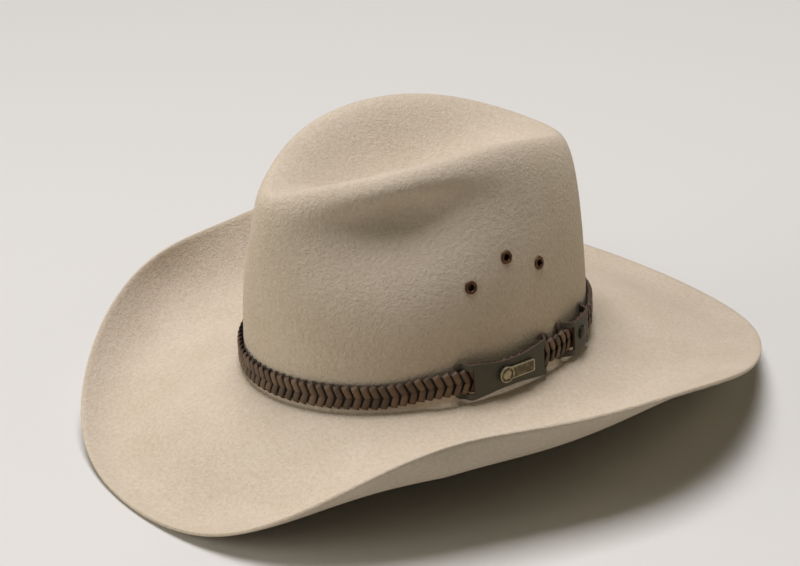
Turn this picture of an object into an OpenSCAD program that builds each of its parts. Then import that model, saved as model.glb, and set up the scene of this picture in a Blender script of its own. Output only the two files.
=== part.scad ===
// Western hat: pinched felt crown and rolled brim in one piece, leather sweatband,
// satin lining, vent eyelets, and a plaited leather hatband with two slide tabs.
// Front of the hat is -Y, the wearer's left is +X, and the head leaves along -Z.

/* [Head opening] */
// Length of the opening inside the sweatband, front to back
opening_l = 205; // [190:1:210]
// Width of the opening inside the sweatband
opening_w = 165; // [156:1:174]

/* [Felt] */
// Thickness of the felt
felt_t = 2.1; // [1.8:0.1:2.4]
// Radius where the crown turns out into the brim
break_r = 2.5; // [2:0.5:3]

/* [Brim] */
// Mean distance of the brim's edge from the hat's centre
brim_reach = 193; // [185:1:205]
// How much further the brim reaches front and back than at the sides, halved
brim_oval = 15; // [10:1:18]
// How much further the brim reaches at the back than at the front, halved
brim_tail = 7; // [0:1:9]
// Fullness of the brim's four corners
brim_corner = 4; // [0:1:5]
// Mean drop of the edge below the crown's break
brim_drop = 4; // [0:1:8]
// How far the sides roll up and the two ends dip
brim_roll = 32.5; // [25:0.5:36]
// How far the roll sits forward of the middle
roll_forward = 4.5; // [0:0.5:6]
// Flatness of the top of the roll
roll_flat = 3.5; // [0:0.5:5]

/* [Crown] */
// Highest point of the crown's ridge above the break
crown_h = 132.5; // [120:0.5:140]
// Drop of the ridge towards the front
front_drop = 14; // [8:1:20]
// Drop of the ridge towards the back
back_drop = 23; // [18:1:28]
// Half length of the ridge, front to back
ridge_l = 93; // [90:1:95]
// Half width of the ridge
ridge_w = 52; // [46:1:58]
// How far the ridge is pinched together at the front, as a share
pinch = 0.5; // [0.3:0.05:0.6]
// Depth of the crease below the highest point of the ridge
crease_d = 31; // [24:1:34]
// Depth of the dent in each side of the crown
dent_d = 18; // [0:1:20]

/* [Sweatband and lining] */
// Thickness of the sweatband's leather
sweat_t = 1.3; // [1:0.1:1.4]
// Radius of the reed in the sweatband's hem
reed_r = 0.8; // [0.6:0.1:1]
// Thickness of the satin lining
lining_t = 0.5; // [0.4:0.1:0.6]

/* [Vent eyelets] */
// Outer radius of an eyelet's flange
eyelet_r = 3.8; // [3.4:0.1:4.8]
// Radius of an eyelet's hole
vent_r = 1.9; // [1.5:0.1:2.1]

/* [Hatband] */
// Height of the plait
plait_h = 14; // [12:0.5:15]
// Thickness of the plait
plait_t = 2.7; // [2.2:0.1:3]
// Height of the plait's middle above the crown's break, at the front and the back
band_z = 10.4; // [9.8:0.1:12]
// How much higher the plait sits at the sides
band_wave = 3.7; // [0:0.1:5]
// Thickness of the slide tabs' leather
tab_t = 1.35; // [1:0.05:1.4]
// Height of a slide tab at its ends
tab_h = 22.5; // [20:0.5:24]
// Height of a slide tab at its waist
waist_h = 16.5; // [13:0.5:18]

/* [Badge and stud] */
// Radius of the badge's round end
badge_r = 4.9; // [4:0.1:5.2]
// Length of the badge from the middle of its round end
badge_l = 19.5; // [15:0.5:20]
// Height of the badge's bar
badge_h = 7.6; // [5:0.1:8]
// Radius of the keeper's domed stud
stud_r = 4; // [3:0.1:4.5]

/* [Hidden] */

// Meridians around the hat, and the angle between two of them
columns = 72;
step_a = 360 / columns;
// Clearance between pieces that lie on each other
gap = 0.2;
// Clearance between the crown and the pieces that lift off it
lift_gap = 0.35;
// Half axes of the crown's outer oval at the break
oval_y = opening_l / 2 + sweat_t + gap + felt_t;
oval_x = opening_w / 2 + sweat_t + gap + felt_t;

felt_colour = [0.78, 0.72, 0.63];
plait_colour = [0.30, 0.22, 0.15];
tab_colour = [0.23, 0.21, 0.16];
pewter = [0.58, 0.55, 0.46];
antique_brass = [0.36, 0.25, 0.18];
sweat_colour = [0.42, 0.28, 0.18];
satin = [0.80, 0.76, 0.68];
thread = [0.70, 0.64, 0.52];

// ---- Curves and surfaces -------------------------------------------------

function bezier(p0, p1, p2, p3, t) =
    pow(1 - t, 3) * p0 + 3 * t * pow(1 - t, 2) * p1 + 3 * t * t * (1 - t) * p2 + pow(t, 3) * p3;
function unit(v) = v / norm(v);
function bell(x) = exp(-x * x);
function smooth(x) = let (c = min(max(x, 0), 1)) c * c * (3 - 2 * c);
// Angle from the front, 0 to 180 on either side
function from_front(p) = acos(cos(p));

// A point of an oval at angle p from the front, turning towards the wearer's left
function on_oval(half_x, half_y, p, z) = [half_x * sin(p), -half_y * cos(p), z];

// The brim's edge
brim_reach_at = function (p) brim_reach + brim_oval * cos(2 * p) - brim_tail * cos(p)
    - brim_corner * cos(5 * p) + 2 * cos(3 * p);
brim_height_at = function (p) -brim_drop - brim_roll * cos(2 * p) - roll_forward * cos(3 * p)
    - roll_flat * cos(4 * p) + 2 * (cos(p) + cos(6 * p) + cos(7 * p));
function brim_edge(p) = on_oval(brim_reach_at(p), brim_reach_at(p), p, brim_height_at(p));

// The brim's upper face, from the break (t = 0) to the edge (t = 1)
// Slope at the break and at the lip, at the two ends and at the sides
dish_end = -15;
dish_side = -20;
lip_end = -22;
lip_side = 82;
// Where the lip curls up most, as the cosine of the angle from the front, and how fast it fades
curl_c = 0.47;
curl_fade_front = 0.5;
curl_fade_back = 0.97;
function curl(p) = let (c = cos(p) - curl_c)
    exp(-pow(abs(c) / (c > 0 ? curl_fade_front : curl_fade_back), 1.3));
// Share of the brim over which it bends down from the break
apron = 0.04;
function brim_face(p, t) = let (
        root = on_oval(oval_x + break_r, oval_y + break_r, p, 0),
        edge = brim_edge(p),
        run = norm([edge.x - root.x, edge.y - root.y]),
        out = unit([edge.x - root.x, edge.y - root.y, 0]),
        side = pow(sin(p), 2),
        dish = dish_end + (dish_side - dish_end) * side,
        lip = lip_end + (lip_side - lip_end) * curl(p),
        a = root + 0.61 * run * (out + [0, 0, tan(dish)]),
        b = edge - 0.36 * run * (cos(lip) * out + [0, 0, sin(lip)])
    ) bezier(root, a, b, edge, t) - [0, 0, 1.83 * run * tan(dish) * t * exp(-t / apron)];

// The turn from the brim's root (t = 0) up to the wall (t = 1)
function break_face(p, t) = on_oval(oval_x + break_r * (1 - sin(90 * t)),
    oval_y + break_r * (1 - sin(90 * t)), p, break_r * (1 - cos(90 * t)));

// The crown's ridge, pinched at the front
ridge_y = 2;
function ridge(p) = let (c = cos(p), front = max(c, 0), back = max(-c, 0)) [
    ridge_w * sin(p) * (1 - pinch * pow(front, 2.5) + 0.1 * back * back),
    ridge_y - ridge_l * c,
    crown_h - front_drop * front * front - back_drop * back * back];

// The side dents: deepest ahead of the middle, a little over half way up
dent_p = 61;
dent_width = 28;
dent_t = 0.58;
// How far the dent reaches up and down from its deepest line, as shares of the wall's height
dent_above = 0.13;
dent_below = 0.18;
function dent(p, t) = dent_d * bell((from_front(p) - dent_p) / dent_width)
    * bell((t - dent_t) / (t > dent_t ? dent_above : dent_below));

// The crown's wall, from the break (t = 0) up to the ridge (t = 1)
function wall_face(p, t) = let (
        foot = on_oval(oval_x, oval_y, p, break_r),
        top = ridge(p),
        lean = [foot.x - top.x, foot.y - top.y, 0],
        shoulder = max(0.4 * norm(lean), 13),
        a = [foot.x, foot.y, 0] - 0.02 * lean + [0, 0, 0.58 * top.z],
        b = top + shoulder * unit(lean),
        q = bezier(foot, a, b, top, t)
    ) q - dent(p, t) * unit([q.x, q.y, 0]);

// The crease in the top, from the ridge (t = 0) to its lowest point (t = 1)
crease_y = -4;
function crease_face(p, t) = let (
        top = ridge(p),
        low = [0, crease_y, crown_h - crease_d],
        a = [0.7 * top.x, 0.7 * top.y, top.z],
        b = [0.5 * top.x, 0.5 * (top.y + crease_y), low.z]
    ) bezier(top, a, b, low, t);

// The felt's outer face: brim 0 to 1, break 1 to 2, wall 2 to 3, crease 3 to 4
function face(p, u) =
    u < 1 ? brim_face(p, 1 - u) :
    u < 2 ? break_face(p, u - 1) :
    u < 3 ? wall_face(p, u - 2) : crease_face(p, u - 3);
nudge = 0.01;
function normal(p, u) = let (
        lo = max(u - nudge, 0),
        hi = min(u + nudge, 3.98)
    ) unit(cross(face(p + 1, u) - face(p - 1, u), face(p, hi) - face(p, lo)));
// A point at a depth under the outer face
function under(p, u, depth) = face(p, u) - depth * normal(p, u);
function ring(u, depth, rise = 0) = [for (i = [0 : columns - 1]) under(i * step_a, u, depth) + [0, 0, rise]];

// ---- Solids from rings ----------------------------------------------------

function strip(i, j, n) = [for (k = [0 : n - 1]) each let (q = (k + 1) % n)
    [[i * n + k, j * n + k, j * n + q], [i * n + k, j * n + q, i * n + q]]];

// Rings that follow each other round a closed section
module band_of(rings) {
    n = len(rings[0]);
    m = len(rings);
    polyhedron([for (r = rings) each r], [for (i = [0 : m - 1]) each strip(i, (i + 1) % m, n)], convexity = 6);
}

// Rings between two poles
module dome_of(rings, first, last) {
    n = len(rings[0]);
    m = len(rings);
    polyhedron(concat([for (r = rings) each r], [first, last]),
        concat([for (i = [0 : m - 2]) each strip(i + 1, i, n)],
            [for (k = [0 : n - 1]) [m * n, (k + 1) % n, k]],
            [for (k = [0 : n - 1]) [m * n + 1, (m - 1) * n + k, (m - 1) * n + (k + 1) % n]]),
        convexity = 8);
}

// A round cord along a ring of the hat
module cord_along(path, r) {
    sides = 6;
    band_of([for (s = [0 : sides - 1]) [for (q = path)
        q + r * cos(s * 360 / sides) * unit([q.x, q.y, 0]) + [0, 0, r * sin(s * 360 / sides)]]]);
}

// Puts a child on a face, its +Z along the outward normal
module seat_on(point, outward) {
    across = unit(cross([0, 0, 1], outward));
    up = cross(outward, across);
    multmatrix([for (i = [0 : 2]) [across[i], up[i], outward[i], point[i]]]) children();
}

// ---- Felt -----------------------------------------------------------------

brim_rows = [0, 0.08, 0.17, 0.27, 0.38, 0.5, 0.63, 0.78, 0.9];
break_rows = [1, 1.35, 1.7];
wall_rows = [for (i = [0 : 9]) 2 + i / 10];
crease_rows = [3, 3.12, 3.28, 3.46, 3.64, 3.82];
felt_rows = concat(brim_rows, break_rows, wall_rows, crease_rows);

// Vent places on the wall: angle from the front and share of the wall's height
vents = [[82, 0.313], [96.3, 0.374], [109.3, 0.318]];
bore_r = vent_r + 0.55;
module at_vents(sign) {
    for (v = vents)
        seat_on(face(sign * v[0], 2 + v[1]), normal(sign * v[0], 2 + v[1])) children();
}

module felt_body() {
    n = len(felt_rows);
    centre = crown_h - crease_d;
    edge_mid = [for (i = [0 : columns - 1]) let (p = i * step_a)
        under(p, 0, felt_t / 2) + 0.5 * unit([sin(p), -cos(p), 0])];
    color(felt_colour) difference() {
        dome_of(concat([for (i = [n - 1 : -1 : 0]) ring(felt_rows[i], 0)], [edge_mid],
            [for (i = [0 : n - 1]) ring(felt_rows[i], felt_t)]),
            [0, crease_y, centre], [0, crease_y, centre - felt_t]);
        for (sign = [-1, 1]) at_vents(sign)
            translate([0, 0, -3 * felt_t]) cylinder(r = bore_r, h = 5 * felt_t, $fn = 32);
    }
}

// ---- Sweatband ------------------------------------------------------------

sweat_rise = 0.25;
sweat_drop = 4;
sweat_stand = 2.6;
// Depth of the sweatband's back under the felt's outer face, at a share of its height
function sweat_depth(s) = felt_t + gap + (sweat_stand - gap) * s;
function sweat_ring(s, d) = ring(2 + sweat_rise * s, sweat_depth(s) + d);
sweat_rows = [0, 0.3, 0.65, 1];

module sweatband() {
    color(sweat_colour) band_of(concat(
        [ring(2, sweat_depth(0), -sweat_drop)], [for (s = sweat_rows) sweat_ring(s, 0)],
        [for (i = [3 : -1 : 0]) sweat_ring(sweat_rows[i], sweat_t)],
        [ring(2, sweat_depth(0) + sweat_t, -sweat_drop)]));
}

reed_z = -sweat_drop - reed_r - gap;
reed_path = ring(2, sweat_depth(0) + sweat_t / 2, reed_z);
tape_t = 0.3;

module sweatband_reed() {
    color("ivory") cord_along(reed_path, reed_r);
}

// The tape is a hem round the lower half of the reed
module reed_tape() {
    inner = reed_r + 0.15;
    outer = inner + tape_t;
    arc = [0, 45, 90, 135, 180];
    color("wheat") band_of(concat(
        [for (a = arc) [for (q = reed_path) q + inner * (cos(a) * unit([q.x, q.y, 0]) - [0, 0, sin(a)])]],
        [for (i = [4 : -1 : 0]) [for (q = reed_path)
            q + outer * (cos(arc[i]) * unit([q.x, q.y, 0]) - [0, 0, sin(arc[i])])]]));
}

stitch_l = 3.4;
stitch_w = 0.6;
stitches = 90;
stitch_clear = 0.05;
module stitch() {
    cube([stitch_l, stitch_w, stitch_w / 2], center = true);
}

module sweatband_stitches() {
    color(thread) for (i = [0 : stitches - 1]) let (p = (i + 0.5) * 360 / stitches)
        seat_on(under(p, 2, sweat_depth(0) + sweat_t + stitch_clear + stitch_w / 2) - [0, 0, 1],
            unit([sin(p) / oval_x, -cos(p) / oval_y, 0])) stitch();
}

// The seam of the sweatband, at the back
back = 180;
splice_w = 14;
splice_h = 34;
sweat_face_y = oval_y - sweat_depth(0) - sweat_t;
splice_z = 21;
module splice_tape() {
    color("tan") intersection() {
        band_of([sweat_ring(0.1, sweat_t + 0.05), sweat_ring(0.9, sweat_t + 0.05),
            sweat_ring(0.9, sweat_t + 0.35), sweat_ring(0.1, sweat_t + 0.35)]);
        translate([-splice_w / 2, sweat_face_y - splice_w, splice_z - splice_h / 2])
            cube([splice_w, 2 * splice_w, splice_h]);
    }
}

module splice_stitches() {
    count = 6;
    color(thread) for (i = [0 : count - 1], side = [-1, 1]) {
        s = 0.2 + 0.62 * i / (count - 1);
        p = back + side * 2.2;
        seat_on(under(p, 2 + sweat_rise * s, sweat_depth(s) + sweat_t + 0.9), [0, 1, 0])
            rotate(90 + side * 30) stitch();
    }
}

bow_w = 30;
bow_h = 9;
bow_z = 7;
module sweatband_bow() {
    color("saddlebrown") translate([0, sweat_face_y - 2.4, bow_z]) rotate([90, 0, 0]) {
        for (side = [-1, 1]) {
            linear_extrude(1.2) polygon([[0, -bow_h / 5], [side * bow_w / 2, -bow_h / 2],
                [side * bow_w / 2, bow_h / 2], [0, bow_h / 5]]);
            translate([side * 4, -bow_h / 2, 0]) rotate(side * 25) cube([3, 2 * bow_h, 1], center = true);
        }
        cylinder(r = bow_h / 4, h = 2, $fn = 24);
    }
}

label_w = 26;
module size_label() {
    color("white") intersection() {
        band_of([sweat_ring(0.25, -0.6), sweat_ring(0.7, -0.6),
            sweat_ring(0.7, -0.35), sweat_ring(0.25, -0.35)]);
        translate([-label_w / 2, 0, 0]) cube([label_w, oval_y, crown_h / 2]);
    }
}

// ---- Lining ---------------------------------------------------------------

lining_depth = felt_t + 1.3;
side_rows = [2.2, 2.3, 2.4, 2.5, 2.6, 2.7, 2.8];
tip_rows = [3.12, 3.28, 3.46, 3.64, 3.82];
protector_rows = [3.36, 3.46, 3.64, 3.82];
// The seam of the lining's side and tip runs under the ridge
seam_drop = 6.5;
seam_in = 1;
piping_r = 0.7;
function seam_ring(out, rise) = [for (i = [0 : columns - 1])
    let (p = i * step_a, q = ridge(p), inset = seam_in + 0.8 * dent(p, 0.8))
    q + (out - inset) * unit([q.x, q.y, 0]) + [0, 0, rise - seam_drop]];

module lining_side() {
    last = len(side_rows) - 1;
    color(satin) band_of(concat(
        [for (u = side_rows) ring(u, lining_depth)], [seam_ring(2.1, lining_t / 2), seam_ring(2.1, -lining_t / 2)],
        [for (i = [last : -1 : 0]) ring(side_rows[i], lining_depth + lining_t)]));
}

module lining_piping() {
    color("peru") cord_along(seam_ring(0, -0.3), piping_r);
}

// A sheet under the crease, as deep as it says below the felt's outer face
module crease_sheet(rows, depth, thick, rim) {
    n = len(rows);
    low = crown_h - crease_d - depth;
    dome_of(concat([for (i = [n - 1 : -1 : 0]) ring(rows[i], depth)], rim,
        [for (i = [0 : n - 1]) ring(rows[i], depth + thick)]),
        [0, crease_y, low], [0, crease_y, low - thick]);
}

module lining_tip() {
    color(satin) crease_sheet(tip_rows, lining_depth, lining_t,
        [seam_ring(-1, lining_t / 2), seam_ring(-1, -lining_t / 2)]);
}

module tip_protector() {
    color([0.9, 0.92, 0.95, 0.4])
        crease_sheet(protector_rows, lining_depth + lining_t + gap, 0.3, []);
}

// ---- Vent eyelets ---------------------------------------------------------

barrel_r = bore_r - 0.05;
flange_t = 0.7;
washer_r = 3.9;
module eyelet() {
    rise = 0.15;
    rotate_extrude($fn = 48) polygon(concat(
        [[vent_r, -felt_t - 1.1], [barrel_r, -felt_t - 1.1], [barrel_r, rise], [eyelet_r, rise]],
        [for (a = [0 : 15 : 180]) [(eyelet_r + vent_r) / 2 + (eyelet_r - vent_r) / 2 * cos(a),
            rise + 0.1 + flange_t * sin(a)]]));
}

module washer() {
    translate([0, 0, -felt_t - 1.02]) difference() {
        cylinder(r = washer_r, h = 0.35, $fn = 48);
        translate([0, 0, -1]) cylinder(r = barrel_r + 0.05, h = 3, $fn = 48);
    }
}

module vent_eyelets_left() { color(antique_brass) at_vents(1) eyelet(); }
module vent_eyelets_right() { color(antique_brass) at_vents(-1) eyelet(); }
module vent_washers_left() { color(antique_brass) at_vents(1) washer(); }
module vent_washers_right() { color(antique_brass) at_vents(-1) washer(); }

// ---- Hatband --------------------------------------------------------------

// Angles where each tab starts and ends, and where the plait stands off to pass over them
tab_from = 73.5;
tab_to = 108.5;
keeper_from = 113.5;
keeper_to = 133;
stand_from = 70;
stand_to = 136;
stand_turn = 8;
// The plait stands off the crown by a tab's leather and its clearances
stand = tab_t + 0.3;
function plait_off(p) = let (q = (p + 360) % 360)
    lift_gap + stand * smooth((q - stand_from + stand_turn) / stand_turn) * smooth((stand_to + stand_turn - q) / stand_turn);
function off_oval(p, off, z) = on_oval(oval_x + off, oval_y + off, p, z);
// Height of the plait's middle round the hat
function mid_z(p) = let (f = from_front(p))
    band_z + band_wave * smooth((f - 48) / 23) * smooth((167 - f) / 30);

module plaited_band() {
    lo = -plait_h / 2;
    hi = plait_h / 2;
    round = 0.7;
    section = [[round, lo], [plait_t - round, lo], [plait_t, lo + round], [plait_t, hi - round],
        [plait_t - round, hi], [round, hi], [0, hi - round], [0, lo + round]];
    n = 2 * columns;
    color(plait_colour) band_of([for (s = section)
        [for (i = [0 : n - 1]) let (p = i * 360 / n) off_oval(p, plait_off(p) + s.x, mid_z(p) + s.y)]]);
}

// A sheet of leather bent round the hat, given by rows of cells; cells(i, j) says which exist
module pierced_sheet(outer, inner, cols, rows, cells) {
    width = rows + 1;
    half = (cols + 1) * width;
    at = function (i, j) i * width + j;
    has = function (i, j) i >= 0 && i < cols && j >= 0 && j < rows && cells(i, j);
    wall = function (a, b) [[a, b, b + half], [a, b + half, a + half]];
    quads = [for (i = [0 : cols - 1], j = [0 : rows - 1]) if (has(i, j)) let (
            a = at(i, j), b = at(i + 1, j), c = at(i + 1, j + 1), d = at(i, j + 1))
        each concat([[a, c, b], [a, d, c], [half + a, half + b, half + c], [half + a, half + c, half + d]],
            has(i, j - 1) ? [] : wall(a, b), has(i + 1, j) ? [] : wall(b, c),
            has(i, j + 1) ? [] : wall(c, d), has(i - 1, j) ? [] : wall(d, a))];
    polyhedron(concat(outer, inner), quads, convexity = 6);
}

// Offsets of a tab's leather: its ends lie behind the plait, its middle in front
tab_low = lift_gap;
tab_high = lift_gap + stand + plait_t + 0.9;
ramp = 2.6;
end_l = 2.2;
slot_clear = 0.4;
function tab_off(p, from, to) = let (edge = min(p - from, to - p))
    tab_low + (tab_high - tab_low) * smooth((edge - end_l) / ramp);

// A leather tab that the plait is threaded through
module tab(from, to, waist) {
    cols = 4 * ceil((to - from) / 2);
    step = (to - from) / cols;
    mid = (from + to) / 2;
    half = (to - from) / 2;
    slot = plait_h / 2 + slot_clear;
    height = function (p) let (s = abs(p - mid) / half)
        waist / 2 + (tab_h - waist) / 2 * smooth(s * 1.25 - 0.1) - 2.2 * pow(max(s - 0.9, 0) / 0.1, 2);
    rows_at = function (p) let (h = height(p), s = min(slot, h - 0.02)) [-h, -s, 0, s, h];
    sheet = function (extra) [for (i = [0 : cols]) let (p = from + i * step)
        each [for (z = rows_at(p)) off_oval(p, tab_off(p, from, to) + extra, mid_z(p) + z)]];
    in_ramp = function (i) let (edge = min((i + 0.5) * step, to - from - (i + 0.5) * step))
        edge > end_l - 0.3 && edge < end_l + ramp + 0.3;
    pierced_sheet(sheet(tab_t), sheet(0), cols, 4, function (i, j) !(in_ramp(i) && (j == 1 || j == 2)));
}

tab_mid = (tab_from + tab_to) / 2;
keeper_mid = (keeper_from + keeper_to) / 2;
badge_p = tab_mid + 1.4;
post_r = 1.1;
post_room = 0.05;
// Angle from the badge's middle to each of its posts
post_a = 3;
// Outer face of a tab's middle
module on_tab(p) {
    seat_on(off_oval(p, tab_high + tab_t, mid_z(p)), unit([sin(p) / oval_x, -cos(p) / oval_y, 0])) children();
}

module at_posts() {
    for (side = [-1, 1]) on_tab(badge_p + side * post_a) children();
}

module slide_tab() {
    color(tab_colour) difference() {
        tab(tab_from, tab_to, waist_h);
        at_posts() translate([0, 0, -5]) cylinder(r = post_r + post_room, h = 8, $fn = 24);
    }
}

badge_lift = 0.1;
badge_t = 1.5;
module badge() {
    color(pewter) on_tab(badge_p) translate([(badge_r - badge_l) / 2, 0, badge_lift]) {
        cylinder(r = badge_r, h = badge_t + 0.3, $fn = 48);
        translate([0, -badge_h / 2, 0]) cube([badge_l - 1.2, badge_h, badge_t]);
        translate([badge_l - 1.2, -badge_h / 2 + 1.2, 0]) cube([1.2, badge_h - 2.4, badge_t]);
        for (y = [-1, 1]) translate([badge_l - 1.2, y * (badge_h / 2 - 1.2), 0])
            cylinder(r = 1.2, h = badge_t, $fn = 24);
    }
}

washer_t = 0.4;
module badge_posts() {
    color(pewter) at_posts() translate([0, 0, -tab_t - 0.65])
        cylinder(r = post_r, h = tab_t + 0.65 + badge_lift, $fn = 24);
}

module badge_washers() {
    color(pewter) at_posts() translate([0, 0, -tab_t - washer_t - 0.1]) difference() {
        cylinder(r = 2.4, h = washer_t, $fn = 32);
        translate([0, 0, -1]) cylinder(r = post_r + post_room, h = 3, $fn = 24);
    }
}

stud_p = keeper_mid;
module rear_keeper() {
    color(tab_colour) difference() {
        tab(keeper_from, keeper_to, waist_h + 2);
        on_tab(stud_p) translate([0, 0, -5]) cylinder(r = post_r + post_room, h = 8, $fn = 24);
    }
}

module keeper_stud() {
    color(tab_colour) on_tab(stud_p) {
        rotate_extrude($fn = 48) polygon(concat([[0, 0.1], [stud_r, 0.1]],
            [for (a = [0 : 10 : 90]) [stud_r * cos(a), 0.5 + 1.1 * sin(a)]]));
        translate([0, 0, -tab_t - 0.5]) cylinder(r = post_r, h = tab_t + 1, $fn = 24);
    }
}

felt_body();
sweatband();
sweatband_reed();
reed_tape();
sweatband_stitches();
splice_tape();
splice_stitches();
sweatband_bow();
size_label();
lining_side();
lining_piping();
lining_tip();
tip_protector();
vent_eyelets_left();
vent_eyelets_right();
vent_washers_left();
vent_washers_right();
plaited_band();
slide_tab();
badge();
badge_posts();
badge_washers();
rear_keeper();
keeper_stud();
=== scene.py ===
"""Looks of a felt western hat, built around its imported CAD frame.

Sizes are in millimetres where a field or an argument is a size of the hat. Meshes are brought to metres as they
are made. The front of the hat is -Y, the wearer's left is +X, and an angle round the hat is counted from the
front towards the wearer's left.
"""

import logging
import math
from dataclasses import dataclass, field
from enum import Enum

import bpy
import numpy as np
from mathutils import Matrix, Vector


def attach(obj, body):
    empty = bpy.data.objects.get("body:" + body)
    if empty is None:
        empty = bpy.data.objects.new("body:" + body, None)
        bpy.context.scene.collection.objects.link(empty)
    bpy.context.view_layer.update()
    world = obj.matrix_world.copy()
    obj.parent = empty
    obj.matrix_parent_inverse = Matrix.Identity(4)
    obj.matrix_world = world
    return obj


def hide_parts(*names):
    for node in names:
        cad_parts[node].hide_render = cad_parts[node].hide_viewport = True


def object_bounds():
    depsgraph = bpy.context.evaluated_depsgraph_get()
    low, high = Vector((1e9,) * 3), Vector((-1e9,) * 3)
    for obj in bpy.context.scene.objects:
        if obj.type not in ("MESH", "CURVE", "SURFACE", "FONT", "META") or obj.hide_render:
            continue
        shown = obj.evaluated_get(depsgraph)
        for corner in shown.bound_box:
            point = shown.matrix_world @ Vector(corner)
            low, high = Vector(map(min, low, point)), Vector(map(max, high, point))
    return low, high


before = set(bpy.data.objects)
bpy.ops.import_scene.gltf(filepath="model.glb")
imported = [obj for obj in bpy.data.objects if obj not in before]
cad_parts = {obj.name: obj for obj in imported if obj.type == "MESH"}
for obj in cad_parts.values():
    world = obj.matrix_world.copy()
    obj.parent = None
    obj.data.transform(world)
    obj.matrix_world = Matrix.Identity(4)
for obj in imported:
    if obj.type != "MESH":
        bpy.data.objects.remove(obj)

LOG = logging.getLogger("hat")
MM = 0.001
CAD_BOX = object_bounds()
Array = np.ndarray
Colour = tuple[float, float, float, float]
Lofted = tuple[Array, list[list[int]], Array]
SMALL_RING = 32
CORD_SIDES = 12
# A rounded cut edge: shares of the thickness, each with its share of the bulge.
ROUNDED = ((0.12, 0.6), (0.3, 0.95), (0.5, 1), (0.7, 0.95), (0.88, 0.6))


class Body(Enum):
    """The CAD bodies that pieces ride on."""

    HAT = "hat"
    HATBAND = "hatband"
    BADGE_TAB = "badge_tab"
    KEEPER = "keeper"


class Row(Enum):
    """The two rows of the plait, with the sign of their height."""

    UPPER = 1
    LOWER = -1


def paint(red: int, green: int, blue: int) -> Colour:
    """A colour as it looks on a screen, turned to linear light.

    Args:
        red, green, blue: shares from 0 to 255.

    Returns:
        The linear colour with full alpha.
    """
    shares = [c / 255 for c in (red, green, blue)]
    linear = [c / 12.92 if c <= 0.04045 else ((c + 0.055) / 1.055) ** 2.4 for c in shares]
    return (linear[0], linear[1], linear[2], 1.0)


def unit(v: Array) -> Array:
    """Vectors along the last axis, brought to length 1."""
    return v / np.linalg.norm(v, axis=-1, keepdims=True)


def bell(x: Array | float) -> Array:
    """A bell curve that is 1 at 0."""
    return np.exp(-np.square(x))


def smooth(x: Array | float) -> Array:
    """A smooth step from 0 to 1."""
    c = np.clip(x, 0, 1)
    return c * c * (3 - 2 * c)


def bezier(p0: Array, p1: Array, p2: Array, p3: Array, t: float) -> Array:
    """A point of a cubic curve at share t."""
    return (1 - t) ** 3 * p0 + 3 * t * (1 - t) ** 2 * p1 + 3 * t * t * (1 - t) * p2 + t**3 * p3


# ---- Node trees -----------------------------------------------------------


class Wire:
    """An output socket that arithmetic can be done on."""

    def __init__(self, graph: "Graph", node: bpy.types.Node, socket: bpy.types.NodeSocket) -> None:
        """Keeps the socket with its node and graph."""
        self.graph, self.node, self.socket = graph, node, socket

    def out(self, key: str | int) -> "Wire":
        """Another output of the same node, by name or number."""
        return Wire(self.graph, self.node, self.node.outputs[key])

    def __add__(self, other: "Wire | float") -> "Wire":
        """Adds."""
        return self.graph.maths("ADD", self, other)

    def __sub__(self, other: "Wire | float") -> "Wire":
        """Subtracts."""
        return self.graph.maths("SUBTRACT", self, other)

    def __rsub__(self, other: float) -> "Wire":
        """Subtracts from a number."""
        return self.graph.maths("SUBTRACT", other, self)

    def __mul__(self, other: "Wire | float") -> "Wire":
        """Multiplies."""
        return self.graph.maths("MULTIPLY", self, other)

    __radd__ = __add__
    __rmul__ = __mul__


class Graph:
    """A node tree with one way of adding a node."""

    def __init__(self, tree: bpy.types.NodeTree) -> None:
        """Keeps the tree."""
        self.tree = tree

    def node(self, kind: str, settings: dict | None = None, sockets: dict | None = None) -> Wire:
        """Adds a node.

        Args:
            kind: the node's type.
            settings: its properties, and a ramp's stops as pairs of place and colour.
            sockets: values or wires for its inputs, by name or number.

        Returns:
            The node's first output.
        """
        made = self.tree.nodes.new(kind)
        for name, value in (settings or {}).items():
            if name == "stops":
                while len(made.color_ramp.elements) < len(value):
                    made.color_ramp.elements.new(1.0)
                for stop, (place, colour) in zip(made.color_ramp.elements, value):
                    stop.position, stop.color = place, colour
            else:
                setattr(made, name, value)
        for key, value in (sockets or {}).items():
            if isinstance(value, Wire):
                self.tree.links.new(value.socket, made.inputs[key])
            else:
                made.inputs[key].default_value = value
        return Wire(self, made, made.outputs[0] if len(made.outputs) else None)

    def maths(self, operation: str, *values: Wire | float) -> Wire:
        """A Math node on one or two values."""
        return self.node("ShaderNodeMath", {"operation": operation}, dict(enumerate(values)))

    def noise(self, place: Wire, scale: float, detail: float = 2.0, rough: float = 0.5) -> Wire:
        """Smooth noise with the given number of lumps in a metre."""
        return self.node("ShaderNodeTexNoise", {"noise_dimensions": "3D"},
                         {"Vector": place, "Scale": scale, "Detail": detail, "Roughness": rough})

    def clamp(self, value: Wire) -> Wire:
        """A value kept between 0 and 1."""
        return self.node("ShaderNodeClamp", {}, {"Value": value})

    def place(self) -> Wire:
        """The place on the piece, in metres."""
        return self.node("ShaderNodeTexCoord").out("Object")

    def attribute(self, name: str) -> Wire:
        """A number stored on the mesh."""
        return self.node("ShaderNodeAttribute", {"attribute_name": name}).out("Fac")

    def blend(self, share: Wire | float, first: Wire | Colour, second: Wire | Colour) -> Wire:
        """A mix of two colours."""
        return self.node("ShaderNodeMix", {"data_type": "RGBA"}, {0: share, 6: first, 7: second}).out(2)

    def bump(self, height: Wire, depth: float, strength: float) -> Wire:
        """A bump as deep as depth, in metres."""
        return self.node("ShaderNodeBump", {},
                         {"Strength": strength, "Distance": depth, "Height": height})


# ---- Finishes -------------------------------------------------------------


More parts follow.
